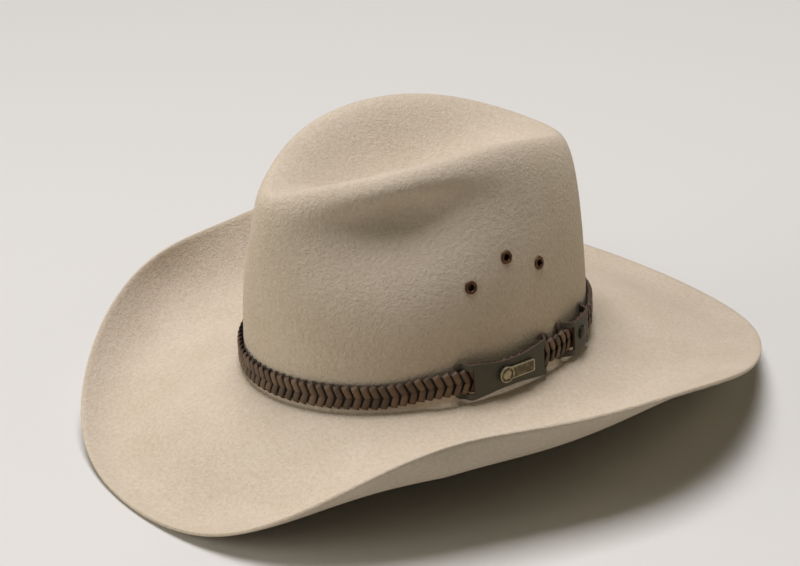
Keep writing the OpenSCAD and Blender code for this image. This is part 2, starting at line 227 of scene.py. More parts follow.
def spread(middle: float, noise: Wire, width: float) -> Wire:
    """A value that noise moves evenly about a middle, over a width."""
    return middle + noise * width - width / 2


@dataclass(frozen=True)
class Finish:
    """A finish with one principled shader."""

    name: str
    colour: Colour

    def surface(self, g: Graph) -> dict:
        """Sockets of the shader, by name."""
        return {"Base Color": self.colour}

    def material(self) -> bpy.types.Material:
        """The material, made once under its name."""
        title = self.name + "_finish"
        found = bpy.data.materials.get(title)
        if found:
            return found
        made = bpy.data.materials.new(title)
        made.use_nodes = True
        made.node_tree.nodes.clear()
        g = Graph(made.node_tree)
        shader = g.node("ShaderNodeBsdfPrincipled", {}, self.surface(g))
        g.node("ShaderNodeOutputMaterial", {}, {"Surface": shader})
        made.diffuse_color = self.colour
        return made


@dataclass(frozen=True)
class FeltFinish(Finish):
    """Fur felt with a short nap, faintly clouded."""

    deep: Colour = paint(183, 168, 146)
    cloud_scale: float = 26.0
    fleck_scale: float = 420.0
    nap_scale: float = 900.0
    nap_depth: float = 0.0012
    cloud_share: float = 0.7
    fleck_share: float = 1.3
    nap_share: float = 0.9
    tone_drop: float = 0.95
    fleck_relief: float = 0.55
    nap_relief: float = 0.45

    def surface(self, g: Graph) -> dict:
        """Clouded colour and nap."""
        place = g.place()
        cloud = g.noise(place, self.cloud_scale, 3.0)
        fleck = g.noise(place, self.fleck_scale, 2.0, 0.6)
        nap = g.noise(place, self.nap_scale, 2.0, 0.6)
        tone = (cloud * self.cloud_share + fleck * self.fleck_share + nap * self.nap_share
                - self.tone_drop)
        relief = fleck * self.fleck_relief + nap * self.nap_relief
        return {
            "Base Color": g.blend(g.clamp(tone), self.deep, self.colour),
            "Roughness": 0.95,
            "Specular IOR Level": 0.2,
            "Sheen Weight": 0.25,
            "Sheen Roughness": 0.5,
            "Sheen Tint": self.colour,
            "Normal": g.bump(relief, self.nap_depth, strength=0.8),
        }


@dataclass(frozen=True)
class LeatherFinish(Finish):
    """Leather with grain, pores and a worn face."""

    deep: Colour = paint(40, 28, 20)
    grain_scale: float = 900.0
    grain_depth: float = 0.00012
    rough: float = 0.5
    strands: bool = False
    wear_scale: float = 60.0
    pore_scale: float = 1500.0
    wear_share: float = 0.9
    pore_share: float = 0.5
    share_drop: float = 0.2
    face_share: float = 0.45
    tone_share: float = 0.55
    painted_crest_light_share: float = 0.5
    strand_drop: float = 0.42
    gloss_width: float = 0.22
    cell_slope: float = 3.0
    cell_height: float = 0.35
    pore_relief: float = 0.25

    def surface(self, g: Graph) -> dict:
        """Grain, wear and, on cut strands, a tone for each and painted light: lighter crests, with painted
        shade on their sides and where they tuck under.
        """
        place = g.place()
        wear = g.noise(place, self.wear_scale, 4.0, 0.6)
        pores = g.noise(place, self.pore_scale, 2.0)
        cell = g.node("ShaderNodeTexVoronoi", {"feature": "DISTANCE_TO_EDGE"},
                      {"Vector": place, "Scale": self.grain_scale})
        share = wear * self.wear_share + pores * self.pore_share - self.share_drop
        if self.strands:
            # Painted light: the crown attribute lightens each strand's outward crest and leaves painted shade
            # on its sides, its back and where it tucks under or folds round the edge.
            share = (share * self.face_share + g.attribute("tone") * self.tone_share
                     + g.attribute("crown") * self.painted_crest_light_share - self.strand_drop)
        grain = g.maths("MINIMUM", cell * self.cell_slope, self.cell_height) + pores * self.pore_relief
        return {
            "Base Color": g.blend(g.clamp(share), self.deep, self.colour),
            "Roughness": spread(self.rough, wear, self.gloss_width),
            "Specular IOR Level": 0.4,
            "Normal": g.bump(grain, self.grain_depth, strength=0.9),
        }


@dataclass(frozen=True)
class ClothFinish(Finish):
    """Woven cloth whose threads follow the piece's own UV map, in metres."""

    deep: Colour = paint(150, 138, 118)
    threads: float = 2200.0
    rib: float = 0.5
    rough: float = 0.7
    sheen: float = 0.2
    depth: float = 0.00008
    slub_scale: float = 120.0
    weave_share: float = 0.5
    slub_share: float = 0.9
    share_drop: float = 0.15
    slub_relief: float = 0.6
    gloss_width: float = 0.16

    def surface(self, g: Graph) -> dict:
        """Warp and weft with a little unevenness."""
        sheet = g.node("ShaderNodeUVMap", {"uv_map": "UVMap"})
        parts = g.node("ShaderNodeSeparateXYZ", {}, {"Vector": sheet})
        turn = 2 * math.pi * self.threads
        warp = g.maths("SINE", parts.out("X") * turn) * 0.5 + 0.5
        weft = g.maths("SINE", parts.out("Y") * turn) * 0.5 + 0.5
        weave = warp * (1 - self.rib) + weft * self.rib
        slub = g.noise(g.place(), self.slub_scale, 3.0)
        share = weave * self.weave_share + slub * self.slub_share - self.share_drop
        return {
            "Base Color": g.blend(g.clamp(share), self.deep, self.colour),
            "Roughness": spread(self.rough, slub, self.gloss_width),
            "Sheen Weight": self.sheen,
            "Normal": g.bump(weave + slub * self.slub_relief, self.depth, strength=0.8),
        }


@dataclass(frozen=True)
class MetalFinish(Finish):
    """Plated metal with a darker patina in its hollows."""

    patina: Colour = paint(60, 52, 40)
    rough: float = 0.38
    hollow: str = ""
    tarnish_scale: float = 420.0
    brush_scale: float = 1800.0
    tarnish_share: float = 1.4
    share_drop: float = 0.45
    hollow_share: float = 0.75
    dulling: float = 0.45
    gloss_width: float = 0.24
    relief_share: float = 0.5
    depth: float = 0.00006

    def surface(self, g: Graph) -> dict:
        """Patina by noise, and by the hollow attribute where a piece has one."""
        place = g.place()
        tarnish = g.noise(place, self.tarnish_scale, 3.0, 0.6)
        brushed = g.noise(place, self.brush_scale, 1.0)
        share = tarnish * self.tarnish_share - self.share_drop
        if self.hollow:
            share = share + g.attribute(self.hollow) * self.hollow_share
        share = g.clamp(share)
        relief = tarnish * self.relief_share + brushed * self.relief_share
        return {
            "Base Color": g.blend(share, self.colour, self.patina),
            "Metallic": 1.0 - share * self.dulling,
            "Roughness": spread(self.rough, tarnish, self.gloss_width),
            "Normal": g.bump(relief, self.depth, strength=0.8),
        }


@dataclass(frozen=True)
class PlasticFinish(Finish):
    """Plain moulded or sheet plastic."""

    rough: float = 0.3
    alpha: float = 1.0
    haze_scale: float = 90.0
    gloss_width: float = 0.16
    depth: float = 0.0004

    def surface(self, g: Graph) -> dict:
        """Faintly uneven gloss."""
        haze = g.noise(g.place(), self.haze_scale, 2.0)
        return {
            "Base Color": self.colour,
            "Roughness": spread(self.rough, haze, self.gloss_width),
            "Alpha": self.alpha,
            "Normal": g.bump(haze, self.depth, strength=0.3),
        }


FELT = FeltFinish("felt", paint(204, 191, 173))
SWEAT_LEATHER = LeatherFinish("sweatband_leather", paint(138, 92, 58), paint(92, 58, 36), 1100.0, 0.0001,
                              0.42)
# The strands' finish paints light on them: lighter crests, and painted shade where they tuck under and fold
# round.
PLAIT_LEATHER = LeatherFinish("plait_leather", paint(118, 93, 70), paint(50, 36, 25), 1300.0, 0.00008, 0.48,
                              strands=True)
# Painted shade: the core is near black so that the gaps between the strands read as shade.
PLAIT_CORE_PAINTED_SHADE = LeatherFinish("plait_core", paint(34, 23, 16), paint(18, 12, 8), 1300.0, 0.00008, 0.6)
TAB_LEATHER = LeatherFinish("tab_leather", paint(80, 78, 66), paint(58, 56, 46), 800.0, 0.00016, 0.52)
TAB_EDGE = LeatherFinish("tab_cut_edge", paint(96, 66, 46), paint(58, 38, 26), 1500.0, 0.0001, 0.6)
SATIN = ClothFinish("satin", paint(226, 218, 200), paint(186, 174, 150), 2600.0, 0.2, 0.36, 0.3, 0.00005)
TAPE = ClothFinish("reed_tape_cloth", paint(196, 180, 150), paint(140, 124, 98), 1400.0, 0.5, 0.8, 0.2, 0.00012)
RIBBON = ClothFinish("bow_ribbon", paint(96, 66, 46), paint(58, 38, 26), 1500.0, 0.9, 0.45, 0.4, 0.00012)
PIPING = ClothFinish("piping_cord", paint(150, 112, 74), paint(104, 74, 48), 900.0, 0.5, 0.6, 0.2, 0.0002)
LABEL = ClothFinish("label", paint(232, 228, 216), paint(204, 198, 182), 2400.0, 0.5, 0.6, 0.1, 0.00006)
THREAD = ClothFinish("thread", paint(206, 192, 160), paint(150, 134, 104), 1800.0, 0.3, 0.6, 0.3, 0.0001)
BRASS = MetalFinish("antique_brass", paint(110, 80, 58), paint(44, 30, 22), 0.42)
PEWTER = MetalFinish("pewter", paint(182, 173, 146), paint(84, 77, 60), 0.38, "hollow")
PEWTER_PLAIN = MetalFinish("pewter_plain", paint(170, 160, 136), paint(80, 72, 56), 0.42)
STUD = MetalFinish("stud_metal", paint(64, 58, 48), paint(24, 21, 17), 0.34)
REED = PlasticFinish("reed_plastic", paint(232, 226, 208), 0.35)
FILM = PlasticFinish("clear_film", paint(236, 240, 244), 0.14, 0.22)


# ---- Meshes ---------------------------------------------------------------


def loft(rings: Array, closed: bool = False, poles: tuple[Array, Array] | None = None) -> Lofted:
    """Faces between rings that all have the same number of points.

    Args:
        rings: points, ring by ring.
        closed: whether the last ring joins the first.
        poles: points that close the first and the last ring.

    Returns:
        Points, faces, and a UV pair in metres for each corner of each face.
    """
    m, n, _ = rings.shape
    rows = m if closed else m - 1
    steps_around = np.linalg.norm(np.roll(rings, -1, axis=1) - rings, axis=2).mean(axis=0)
    steps_along = np.linalg.norm(np.roll(rings, -1, axis=0) - rings, axis=2).mean(axis=1)
    around = np.concatenate([[0], np.cumsum(steps_around)]) * MM
    along = np.concatenate([[0], np.cumsum(steps_along)]) * MM
    i, k = np.arange(rows)[:, None], np.arange(n)[None, :]
    j, q = (i + 1) % m, (k + 1) % n
    quads = np.stack([i * n + k, j * n + k, j * n + q, i * n + q], -1).reshape(-1, 4)
    u = np.stack(np.broadcast_arrays(around[k], around[k], around[k + 1], around[k + 1]), -1)
    u = np.broadcast_to(u, (rows, n, 4)).reshape(-1)
    v = np.stack(np.broadcast_arrays(along[i], along[i + 1], along[i + 1], along[i]), -1)
    v = np.broadcast_to(v, (rows, n, 4)).reshape(-1)
    points, faces, pairs = rings.reshape(-1, 3), quads.tolist(), np.stack([u, v], -1)
    if poles is not None:
        points = np.concatenate([points, np.array(poles)])
        last = (m - 1) * n
        for a in range(n):
            b = (a + 1) % n
            faces += [[m * n, a, b], [m * n + 1, last + b, last + a]]
        caps = np.zeros((n, 6, 2))
        if n <= SMALL_RING:
            caps[..., 0] = np.stack([around[:-1], around[:-1], around[1:]] * 2, -1)
        pairs = np.concatenate([pairs, caps.reshape(-1, 2)])
    return points, faces, pairs


def signed_volume(points: Array, faces: list[list[int]]) -> float:
    """Six times the volume inside the faces, below 0 if they point inwards."""
    total = 0.0
    for size in {len(f) for f in faces}:
        group = np.array([f for f in faces if len(f) == size])
        for c in range(1, size - 1):
            a, b, d = points[group[:, 0]], points[group[:, c]], points[group[:, c + 1]]
            total += float((a * np.cross(b, d)).sum())
    return total


def make(name: str, points: Array, faces: list[list[int]], pairs: Array | None = None,
         finishes: tuple[Finish, ...] = (), closed: bool = True) -> bpy.types.Object:
    """Makes an object from points in millimetres.

    Args:
        name: the piece's name.
        points: its points.
        faces: corners of each face.
        pairs: a UV pair for each corner, or None.
        finishes: its finishes, in order.
        closed: whether the faces close a solid, and so can be turned outwards.

    Returns:
        The object, at the origin.
    """
    if closed and signed_volume(points, faces) < 0:
        if pairs is not None:
            start, turned = 0, []
            for f in faces:
                turned += reversed(range(start, start + len(f)))
                start += len(f)
            pairs = pairs[turned]
        faces = [f[::-1] for f in faces]
    mesh = bpy.data.meshes.new(name)
    mesh.from_pydata((points * MM).tolist(), [], faces)
    if pairs is not None:
        layer = mesh.uv_layers.new(name="UVMap")
        layer.data.foreach_set("uv", pairs.astype(np.float32).ravel())
    for finish in finishes:
        mesh.materials.append(finish.material())
    mesh.shade_smooth()
    piece = bpy.data.objects.new(name, mesh)
    bpy.context.scene.collection.objects.link(piece)
    return piece


def set_layer(piece: bpy.types.Object, name: str, values: Array) -> None:
    """Stores a number for each point of a mesh."""
    layer = piece.data.attributes.new(name, "FLOAT", "POINT")
    layer.data.foreach_set("value", values.astype(np.float32))


def freeze(piece: bpy.types.Object) -> bpy.types.Object:
    """Turns a piece with modifiers into its plain mesh."""
    bpy.context.view_layer.update()
    graph = bpy.context.evaluated_depsgraph_get()
    mesh = bpy.data.meshes.new_from_object(piece.evaluated_get(graph),
                                           preserve_all_data_layers=True, depsgraph=graph)
    piece.modifiers.clear()
    piece.data = mesh
    return piece


def place(piece: bpy.types.Object, body: Body, slot: str, *nodes: str) -> bpy.types.Object:
    """Gives a finished piece its body and hides the CAD nodes that it stands for."""
    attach(piece, body.value)
    if nodes:
        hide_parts(*nodes)
    LOG.info("%s: %d faces on %s", piece.name, len(piece.data.polygons), body.value)
    return piece


def dress(node: str, finish: Finish) -> None:
    """Gives a CAD node its finish."""
    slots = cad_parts[node].data.materials
    slots.clear()
    slots.append(finish.material())
    LOG.info("%s: finished as %s", node, finish.name)


# ---- Shape of the felt ----------------------------------------------------


@dataclass(frozen=True)
class HatForm:
    """Rules of the felt's shape, which the inner and outer pieces follow."""

    oval_x: float = 86.1
    oval_y: float = 106.1
    felt_t: float = 2.1
    break_r: float = 2.5
    brim_reach: float = 193.0
    brim_oval: float = 15.0
    brim_tail: float = 7.0
    brim_corner: float = 4.0
    brim_drop: float = 4.0
    brim_roll: float = 32.5
    roll_forward: float = 4.5
    roll_flat: float = 3.5
    dish_end: float = -15.0
    dish_side: float = -20.0
    lip_end: float = -22.0
    lip_side: float = 82.0
    curl_c: float = 0.47
    curl_fade_front: float = 0.5
    curl_fade_back: float = 0.97
    crown_h: float = 132.5
    front_drop: float = 14.0
    back_drop: float = 23.0
    ridge_l: float = 93.0
    ridge_w: float = 52.0
    ridge_y: float = 2.0
    pinch: float = 0.5
    crease_d: float = 31.0
    crease_y: float = -4.0
    dent_d: float = 18.0
    dent_p: float = 61.0
    dent_width: float = 28.0
    dent_t: float = 0.58
    dent_above: float = 0.13
    dent_below: float = 0.18
    apron: float = 0.04
    band_z: float = 10.4
    band_wave: float = 3.7
    nudge: float = 0.01
    last_u: float = 3.98
    edge_wave: float = 2.0
    lip_power: float = 1.3
    root_pull: float = 0.61
    edge_pull: float = 0.36
    pinch_power: float = 2.5
    back_swell: float = 0.1
    foot_splay: float = 0.02
    foot_rise: float = 0.58
    shoulder: float = 0.4
    shoulder_least: float = 13.0
    crease_start: float = 0.7
    crease_middle: float = 0.5
    wave_from: float = 48.0
    wave_rise: float = 23.0
    wave_to: float = 167.0
    wave_fall: float = 30.0
    vents: tuple[tuple[float, float], ...] = ((82.0, 0.313), (96.3, 0.374), (109.3, 0.318))

    def oval(self, off: Array | float, p: Array, z: Array | float) -> Array:
        """A point outside the oval by off, at angle p in radians and height z."""
        p = np.asarray(p, float)
        return np.stack([(self.oval_x + off) * np.sin(p), -(self.oval_y + off) * np.cos(p), z + 0 * p], -1)

    def edge(self, p: Array) -> Array:
        """The brim's edge."""
        reach = (self.brim_reach + self.brim_oval * np.cos(2 * p) - self.brim_tail * np.cos(p)
                 - self.brim_corner * np.cos(5 * p) + self.edge_wave * np.cos(3 * p))
        height = (-self.brim_drop - self.brim_roll * np.cos(2 * p) - self.roll_forward * np.cos(3 * p)
                  - self.roll_flat * np.cos(4 * p)
                  + self.edge_wave * (np.cos(p) + np.cos(6 * p) + np.cos(7 * p)))
        return np.stack([reach * np.sin(p), -reach * np.cos(p), height], -1)

    def brim(self, p: Array, t: float) -> Array:
        """The brim's upper face, from the break (t 0) to the edge (t 1)."""
        root, edge = self.oval(self.break_r, p, 0.0), self.edge(p)
        level = (edge - root) * [1, 1, 0]
        run = np.linalg.norm(level, axis=-1, keepdims=True)
        out = level / run
        dish = np.radians(self.dish_end + (self.dish_side - self.dish_end) * np.sin(p) ** 2)
        c = np.cos(p) - self.curl_c
        fade = np.where(c > 0, self.curl_fade_front, self.curl_fade_back)
        curl = np.exp(-(np.abs(c) / fade) ** self.lip_power)
        lip = np.radians(self.lip_end + (self.lip_side - self.lip_end) * curl)
        up = np.array([0.0, 0.0, 1.0])
        a = root + self.root_pull * run * (out + np.tan(dish)[..., None] * up)
        b = edge - self.edge_pull * run * (np.cos(lip)[..., None] * out + np.sin(lip)[..., None] * up)
        level_start = 3 * self.root_pull * run * np.tan(dish)[..., None] * t * math.exp(-t / self.apron)
        return bezier(root, a, b, edge, t) - level_start * up

    def turn(self, p: Array, t: float) -> Array:
        """The turn from the brim up to the wall."""
        off = self.break_r * (1 - math.sin(math.pi / 2 * t))
        return self.oval(off, p, self.break_r * (1 - math.cos(math.pi / 2 * t)))

    def ridge(self, p: Array) -> Array:
        """The crown's ridge, pinched at the front."""
        c = np.cos(p)
        front, back = np.maximum(c, 0), np.maximum(-c, 0)
        narrowing = 1 - self.pinch * front**self.pinch_power + self.back_swell * back * back
        return np.stack([self.ridge_w * np.sin(p) * narrowing,
                         self.ridge_y - self.ridge_l * c,
                         self.crown_h - self.front_drop * front**2 - self.back_drop * back**2], -1)

    def dent(self, p: Array, t: float) -> Array:
        """Depth of the dent in each side of the crown."""
        side = np.degrees(np.arccos(np.clip(np.cos(p), -1, 1)))
        reach = self.dent_above if t > self.dent_t else self.dent_below
        return (self.dent_d * bell((side - self.dent_p) / self.dent_width)
                * bell((t - self.dent_t) / reach))

    def wall(self, p: Array, t: float) -> Array:
        """The crown's wall, from the turn (t 0) up to the ridge (t 1)."""
        foot, top = self.oval(0.0, p, self.break_r), self.ridge(p)
        lean = (foot - top) * [1, 1, 0]
        far = np.linalg.norm(lean, axis=-1, keepdims=True)
        a = foot * [1, 1, 0] - self.foot_splay * lean + self.foot_rise * top * [0, 0, 1]
        b = top + np.maximum(self.shoulder * far, self.shoulder_least) * lean / far
        q = bezier(foot, a, b, top, t)
        return q - self.dent(p, t)[..., None] * unit(q * [1, 1, 0])

    def crease(self, p: Array, t: float) -> Array:
        """The crease in the top, from the ridge (t 0) to its lowest point (t 1)."""
        top = self.ridge(p)
        low = np.array([0, self.crease_y, self.crown_h - self.crease_d])
        a = top * [self.crease_start, self.crease_start, 1]
        b = np.stack([self.crease_middle * top[..., 0], 0.5 * (top[..., 1] + self.crease_y),
                      low[2] + 0 * p], -1)
        return bezier(top, a, b, low + 0 * top, t)

    def band_middle(self, p: Array | float) -> Array:
        """Height of the hatband's middle at angle p."""
        side = np.degrees(np.arccos(np.clip(np.cos(p), -1, 1)))
        return self.band_z + (self.band_wave * smooth((side - self.wave_from) / self.wave_rise)
                              * smooth((self.wave_to - side) / self.wave_fall))

    def face(self, p: Array, u: float) -> Array:
        """The outer face: brim 0 to 1, turn 1 to 2, wall 2 to 3, crease 3 to 4."""
        p = np.asarray(p, float)
        if u < 1:
            return self.brim(p, 1 - u)
        if u < 2:
            return self.turn(p, u - 1)
        return self.wall(p, u - 2) if u < 3 else self.crease(p, u - 3)

    def normal(self, p: Array, u: float) -> Array:
        """The outer face's outward direction."""
        p = np.asarray(p, float)
        lo, hi, step = max(u - self.nudge, 0), min(u + self.nudge, self.last_u), math.radians(1)
        across = self.face(p + step, u) - self.face(p - step, u)
        return unit(np.cross(across, self.face(p, hi) - self.face(p, lo)))

    def under(self, p: Array, u: float, depth: float) -> Array:
        """A point at a depth under the outer face."""
        return self.face(p, u) - depth * self.normal(p, u)


def turns(columns: int) -> Array:
    """Angles of the columns of a ring, in radians."""
    return np.arange(columns) * 2 * math.pi / columns


@dataclass
class FeltHat:
    """Crown and brim, blocked in one from fur felt."""

    form: HatForm = field(default_factory=HatForm)
    columns: int = 300
    bore_r: float = 2.45
    bore_sides: int = 24
    bore_reach: float = 8.0
    edge_round: float = 0.4

    def rings(self) -> Array:
        """Rings of the outer face, the cut edge and the inner face."""
        p, t = turns(self.columns), self.form.felt_t
        outer = [*np.linspace(0, 1, 37)[:-1], *np.linspace(1, 2, 6)[:-1], *np.linspace(2, 3, 49)[:-1],
                 *np.linspace(3, 3.97, 30)]
        inner = [*np.linspace(0, 1, 31)[:-1], *np.linspace(1, 2, 5)[:-1], *np.linspace(2, 2.9, 31),
                 *np.linspace(3, 3.12, 2), *np.linspace(3.2, 3.94, 16)]
        rim = self.form.face(p, 0)
        outward, up = unit(rim - self.form.face(p, 2 * self.form.nudge)), self.form.normal(p, 0)
        cut = [rim - t * share * up + self.edge_round * bulge * outward for share, bulge in ROUNDED]
        return np.array([self.form.face(p, u) for u in outer[::-1]] + cut
                        + [self.form.under(p, u, t) for u in inner])

    def bores(self) -> bpy.types.Object:
        """Cutters for the six vent holes."""
        points, faces = [], []
        sides, reach = self.bore_sides, self.bore_reach
        turn = turns(sides)
        for sign in (-1, 1):
            for angle, share in self.form.vents:
                p = np.array([math.radians(sign * angle)])
                centre, out = self.form.face(p, 2 + share)[0], self.form.normal(p, 2 + share)[0]
                across = unit(np.cross([0, 0, 1], out))
                up = np.cross(out, across)
                circle = self.bore_r * (np.cos(turn)[:, None] * across + np.sin(turn)[:, None] * up)
                start = sum(len(q) for q in points)
                points.append(np.concatenate([centre + circle - reach * out, centre + circle + reach * out]))
                for k in range(sides):
                    q = (k + 1) % sides
                    faces.append([start + k, start + q, start + sides + q, start + sides + k])
                faces += [list(range(start + sides - 1, start - 1, -1)),
                          list(range(start + sides, start + 2 * sides))]
        return make("vent_bores", np.concatenate(points), faces)

    def build(self) -> None:
        """Makes the felt."""
        f = self.form
        low = np.array([0, f.crease_y, f.crown_h - f.crease_d])
        points, faces, pairs = loft(self.rings(), poles=(low, low - [0, 0, f.felt_t]))
        felt = make("felt_hat", points, faces, pairs, (FELT,))
        cutter = self.bores()
        cut = felt.modifiers.new("vents", "BOOLEAN")
        cut.operation, cut.object, cut.solver = "DIFFERENCE", cutter, "MANIFOLD"
        freeze(felt)
        bpy.data.objects.remove(cutter)
        place(felt, Body.HAT, "felt", "felt_body")


def round_cord(name: str, path: Array, radius: float, finish: Finish, slot: str, node: str,
               start: float = 0.0, end: float = 360.0, inner: float = 0.0) -> None:
    """A round cord along a path, or a hem round part of it.

    Args:
        name: the piece's name.
        path: the points that it follows.
        radius: outer radius.
        finish: its finish.
        slot: not used.
        node: the CAD node that it stands for.
        start, end: angles of the section, from outwards and turning down.
        inner: inner radius of a hem, or 0 for a full cord.
    """
    out = unit(path * [1, 1, 0])
    down = np.array([0, 0, -1.0])
    full = inner == 0
    angles = np.radians(np.linspace(start, end, CORD_SIDES + 1))[: CORD_SIDES if full else None]
    rings = [path + radius * (math.cos(a) * out + math.sin(a) * down) for a in angles]
    if not full:
        rings += [path + inner * (math.cos(a) * out + math.sin(a) * down) for a in angles[::-1]]
    points, faces, pairs = loft(np.array(rings), closed=True)
    place(make(name, points, faces, pairs, (finish,)), Body.HAT, slot, node)


@dataclass
class Sweatband:
    """Leather sweatband with its reed, hem tape, splice, bow, label and stitches."""

    form: HatForm = field(default_factory=HatForm)
    columns: int = 240
    rise: float = 0.25
    drop: float = 4.0
    stand: float = 2.6
    gap: float = 0.2
    leather_t: float = 1.3
    reed_r: float = 0.8
    tape_t: float = 0.3
    stitches: int = 90
    edge_round: float = 0.25
    tape_gap: float = 0.15
    stitch_drop: float = 1.0
    thread_stand: float = 0.12
    splice_count: int = 13
    splice_start: float = 0.14
    splice_run: float = 0.72
    splice_half: float = 1.5
    splice_stand: float = 0.72

    def depth(self, s: float) -> float:
        """Depth of the sweatband's back under the felt's outer face, at a share of its height."""
        return self.form.felt_t + self.gap + (self.stand - self.gap) * s

    def ring(self, s: float, extra: float, p: Array | None = None) -> Array:
        """A ring of the sweatband, extra behind its back face."""
        p = turns(self.columns) if p is None else p
        return self.form.under(p, 2 + self.rise * s, self.depth(s) + extra)

    def leather(self) -> None:
        """The strip of leather, its edges rounded."""
        down = np.array([0, 0, -1.0])
        p, t = turns(self.columns), self.leather_t
        lips = ((0.0, 0.0), (0.15, 0.7), (0.5, 1.0), (0.85, 0.7), (1.0, 0.0))
        foot = [self.form.under(p, 2, self.depth(0) + t * share)
                + down * (self.drop + self.edge_round * bulge - self.edge_round) for share, bulge in lips]
        rise = np.linspace(0, 1, 26)
        back, front = [self.ring(s, 0) for s in rise], [self.ring(s, t) for s in rise[::-1]]
        top = [self.ring(1, t * share) + [0, 0, lift] for share, lift in ((0.2, 0.2), (0.5, 0.28), (0.8, 0.2))]
        rings = np.array(foot[:1] + back + top + front + foot[:0:-1])
        points, faces, pairs = loft(rings, closed=True)
        place(make("sweatband_strip", points, faces, pairs, (SWEAT_LEATHER,)), Body.HAT,
              "sweatband_leather", "sweatband")

    def patch(self, name: str, width: float, span: tuple[float, float], depths: tuple[float, float],
              finish: Finish, slot: str, node: str) -> None:
        """A small thin patch on the back of the crown, following the sweatband.

        Args:
            name: the piece's name.
            width: its width round the hat.
            span: shares of the sweatband's height where it starts and ends.
            depths: depths of its two faces behind the sweatband's back face.
            finish: its finish.
            slot: not used.
            node: the CAD node that it stands for.
        """
        half, cols, rows = width / 2 / self.form.oval_x, 16, 12
        p = math.pi + np.linspace(-half, half, cols + 1)
        s = np.linspace(span[0], span[1], rows + 1)
        sheets = [np.array([self.ring(v, depth, p) for v in s]) for depth in depths]
        count, wide = (cols + 1) * (rows + 1), cols + 1
        faces, pairs = [], []
        for i in range(rows):
            for k in range(cols):
                a = i * wide + k
                faces += [[a, a + 1, a + 1 + wide, a + wide],
                          [count + a, count + a + wide, count + a + 1 + wide, count + a + 1]]
                u, v = k * width / cols * MM, i * MM * 2
                pairs += [[u, v], [u + MM, v], [u + MM, v + 2 * MM], [u, v + 2 * MM]] * 2
        border = ([(k, k + 1) for k in range(cols)]
                  + [(i * wide + cols, (i + 1) * wide + cols) for i in range(rows)]
                  + [(rows * wide + k + 1, rows * wide + k) for k in range(cols)]
                  + [((i + 1) * wide, i * wide) for i in range(rows)])
        faces += [[b, a, a + count, b + count] for a, b in border]
        pairs += [[0, 0]] * 4 * len(border)
        points = np.concatenate([q.reshape(-1, 3) for q in sheets])
        place(make(name, points, faces, np.array(pairs), (finish,)), Body.HAT, slot, node)

    def stitch_line(self) -> None:
        """The row of stitches along the lower edge."""
        p = (np.arange(self.stitches) + 0.5) * 2 * math.pi / self.stitches
        depth = self.depth(0) + self.leather_t + self.thread_stand
        path = self.form.under(p, 2, depth) - [0, 0, self.stitch_drop]
        Stitching("sweatband_thread", length=3.6, radius=0.32).along(
            path, "sweatband_stitches", closed=True)

    def splice(self) -> None:
        """The zigzag that joins the sweatband's ends."""
        places = []
        for i in range(self.splice_count):
            side = 1 if i % 2 else -1
            p = np.array([math.pi + side * math.radians(self.splice_half)])
            share = self.splice_start + self.splice_run * i / (self.splice_count - 1)
            places.append(self.ring(share, self.leather_t + self.splice_stand, p)[0])
        Stitching("splice_thread", length=4.6, radius=0.28).along(
            np.array(places), "splice_stitches", closed=False)

    def bow(self) -> None:
        """A flat ribbon bow at the back: two loops, two tails and a knot."""
        face_y = self.form.oval_y - self.depth(0) - self.leather_t - 0.5
        height, half_w, half_h, thick = 7.0, 15.0, 4.5, 1.5
        points, faces, pairs = [], [], []

        def lump(lobe: Array) -> None:
            """Adds a closed lump given as rings along its length."""
            m, n, _ = lobe.shape
            start = sum(len(q) for q in points)
            poles = [lobe[0].mean(axis=0), lobe[-1].mean(axis=0)]
            points.append(np.concatenate([lobe.reshape(-1, 3), poles]))
            for i in range(m - 1):
                near, far = start + i * n, start + (i + 1) * n
                for k in range(n):
                    q = (k + 1) % n
                    faces.append([near + k, far + k, far + q, near + q])
                    u, v = i * MM, k * MM
                    pairs.extend([[u, v], [u + MM, v], [u + MM, v + MM], [u, v + MM]])
            for k in range(n):
                q = (k + 1) % n
                faces.extend([[start + m * n, start + k, start + q],
                              [start + m * n + 1, start + (m - 1) * n + q, start + (m - 1) * n + k]])
                pairs.extend([[0, 0]] * 6)

        def section(x: float, z: float, half: float, deep: float, lean: float) -> Array:
            """An oval section across a ribbon."""
            turn = turns(20)
            pleat = 1 + 0.1 * np.cos(5 * turn) * (half < half_h)
            return np.stack([x + lean * np.sin(turn), face_y - deep * (1 + np.cos(turn) * pleat) / 2,
                             height + z + half * np.sin(turn) * pleat], -1)

        def loop(side: int, s: float) -> Array:
            """A section of a loop, at share s of its length."""
            half = 1.7 + (half_h - 1.9) * smooth(s * 1.5) if s < 0.98 else half_h * 0.55
            deep = 0.5 + thick * math.sin(math.pi * min(s * 0.95 + 0.08, 1))
            return section(side * (0.8 + (half_w - 1) * s), 0, half, deep, 0)

        def tail(side: int, s: float) -> Array:
            """A section of a tail, at share s of its length."""
            return section(side * (1 + 7 * s), -1 - 8.5 * s, 1.4 + 1.1 * s, 0.5, 1.2 * s)

        def knot(x: float) -> Array:
            """A section of the knot, at x from its middle."""
            swell = 1 - (x / 2.9) ** 4
            return section(x, 0, 2.3 * swell, 2.0 * swell + 0.2, 0)

        for side in (-1, 1):
            lump(np.array([loop(side, s) for s in np.linspace(0, 1, 14)])[::side])
            lump(np.array([tail(side, s) for s in np.linspace(0, 1, 8)])[::side])
        lump(np.array([knot(x) for x in np.linspace(-2.6, 2.6, 9)]))
        piece = make("ribbon_bow", np.concatenate(points), faces, np.array(pairs), (RIBBON,))
        place(piece, Body.HAT, "bow_ribbon", "sweatband_bow")

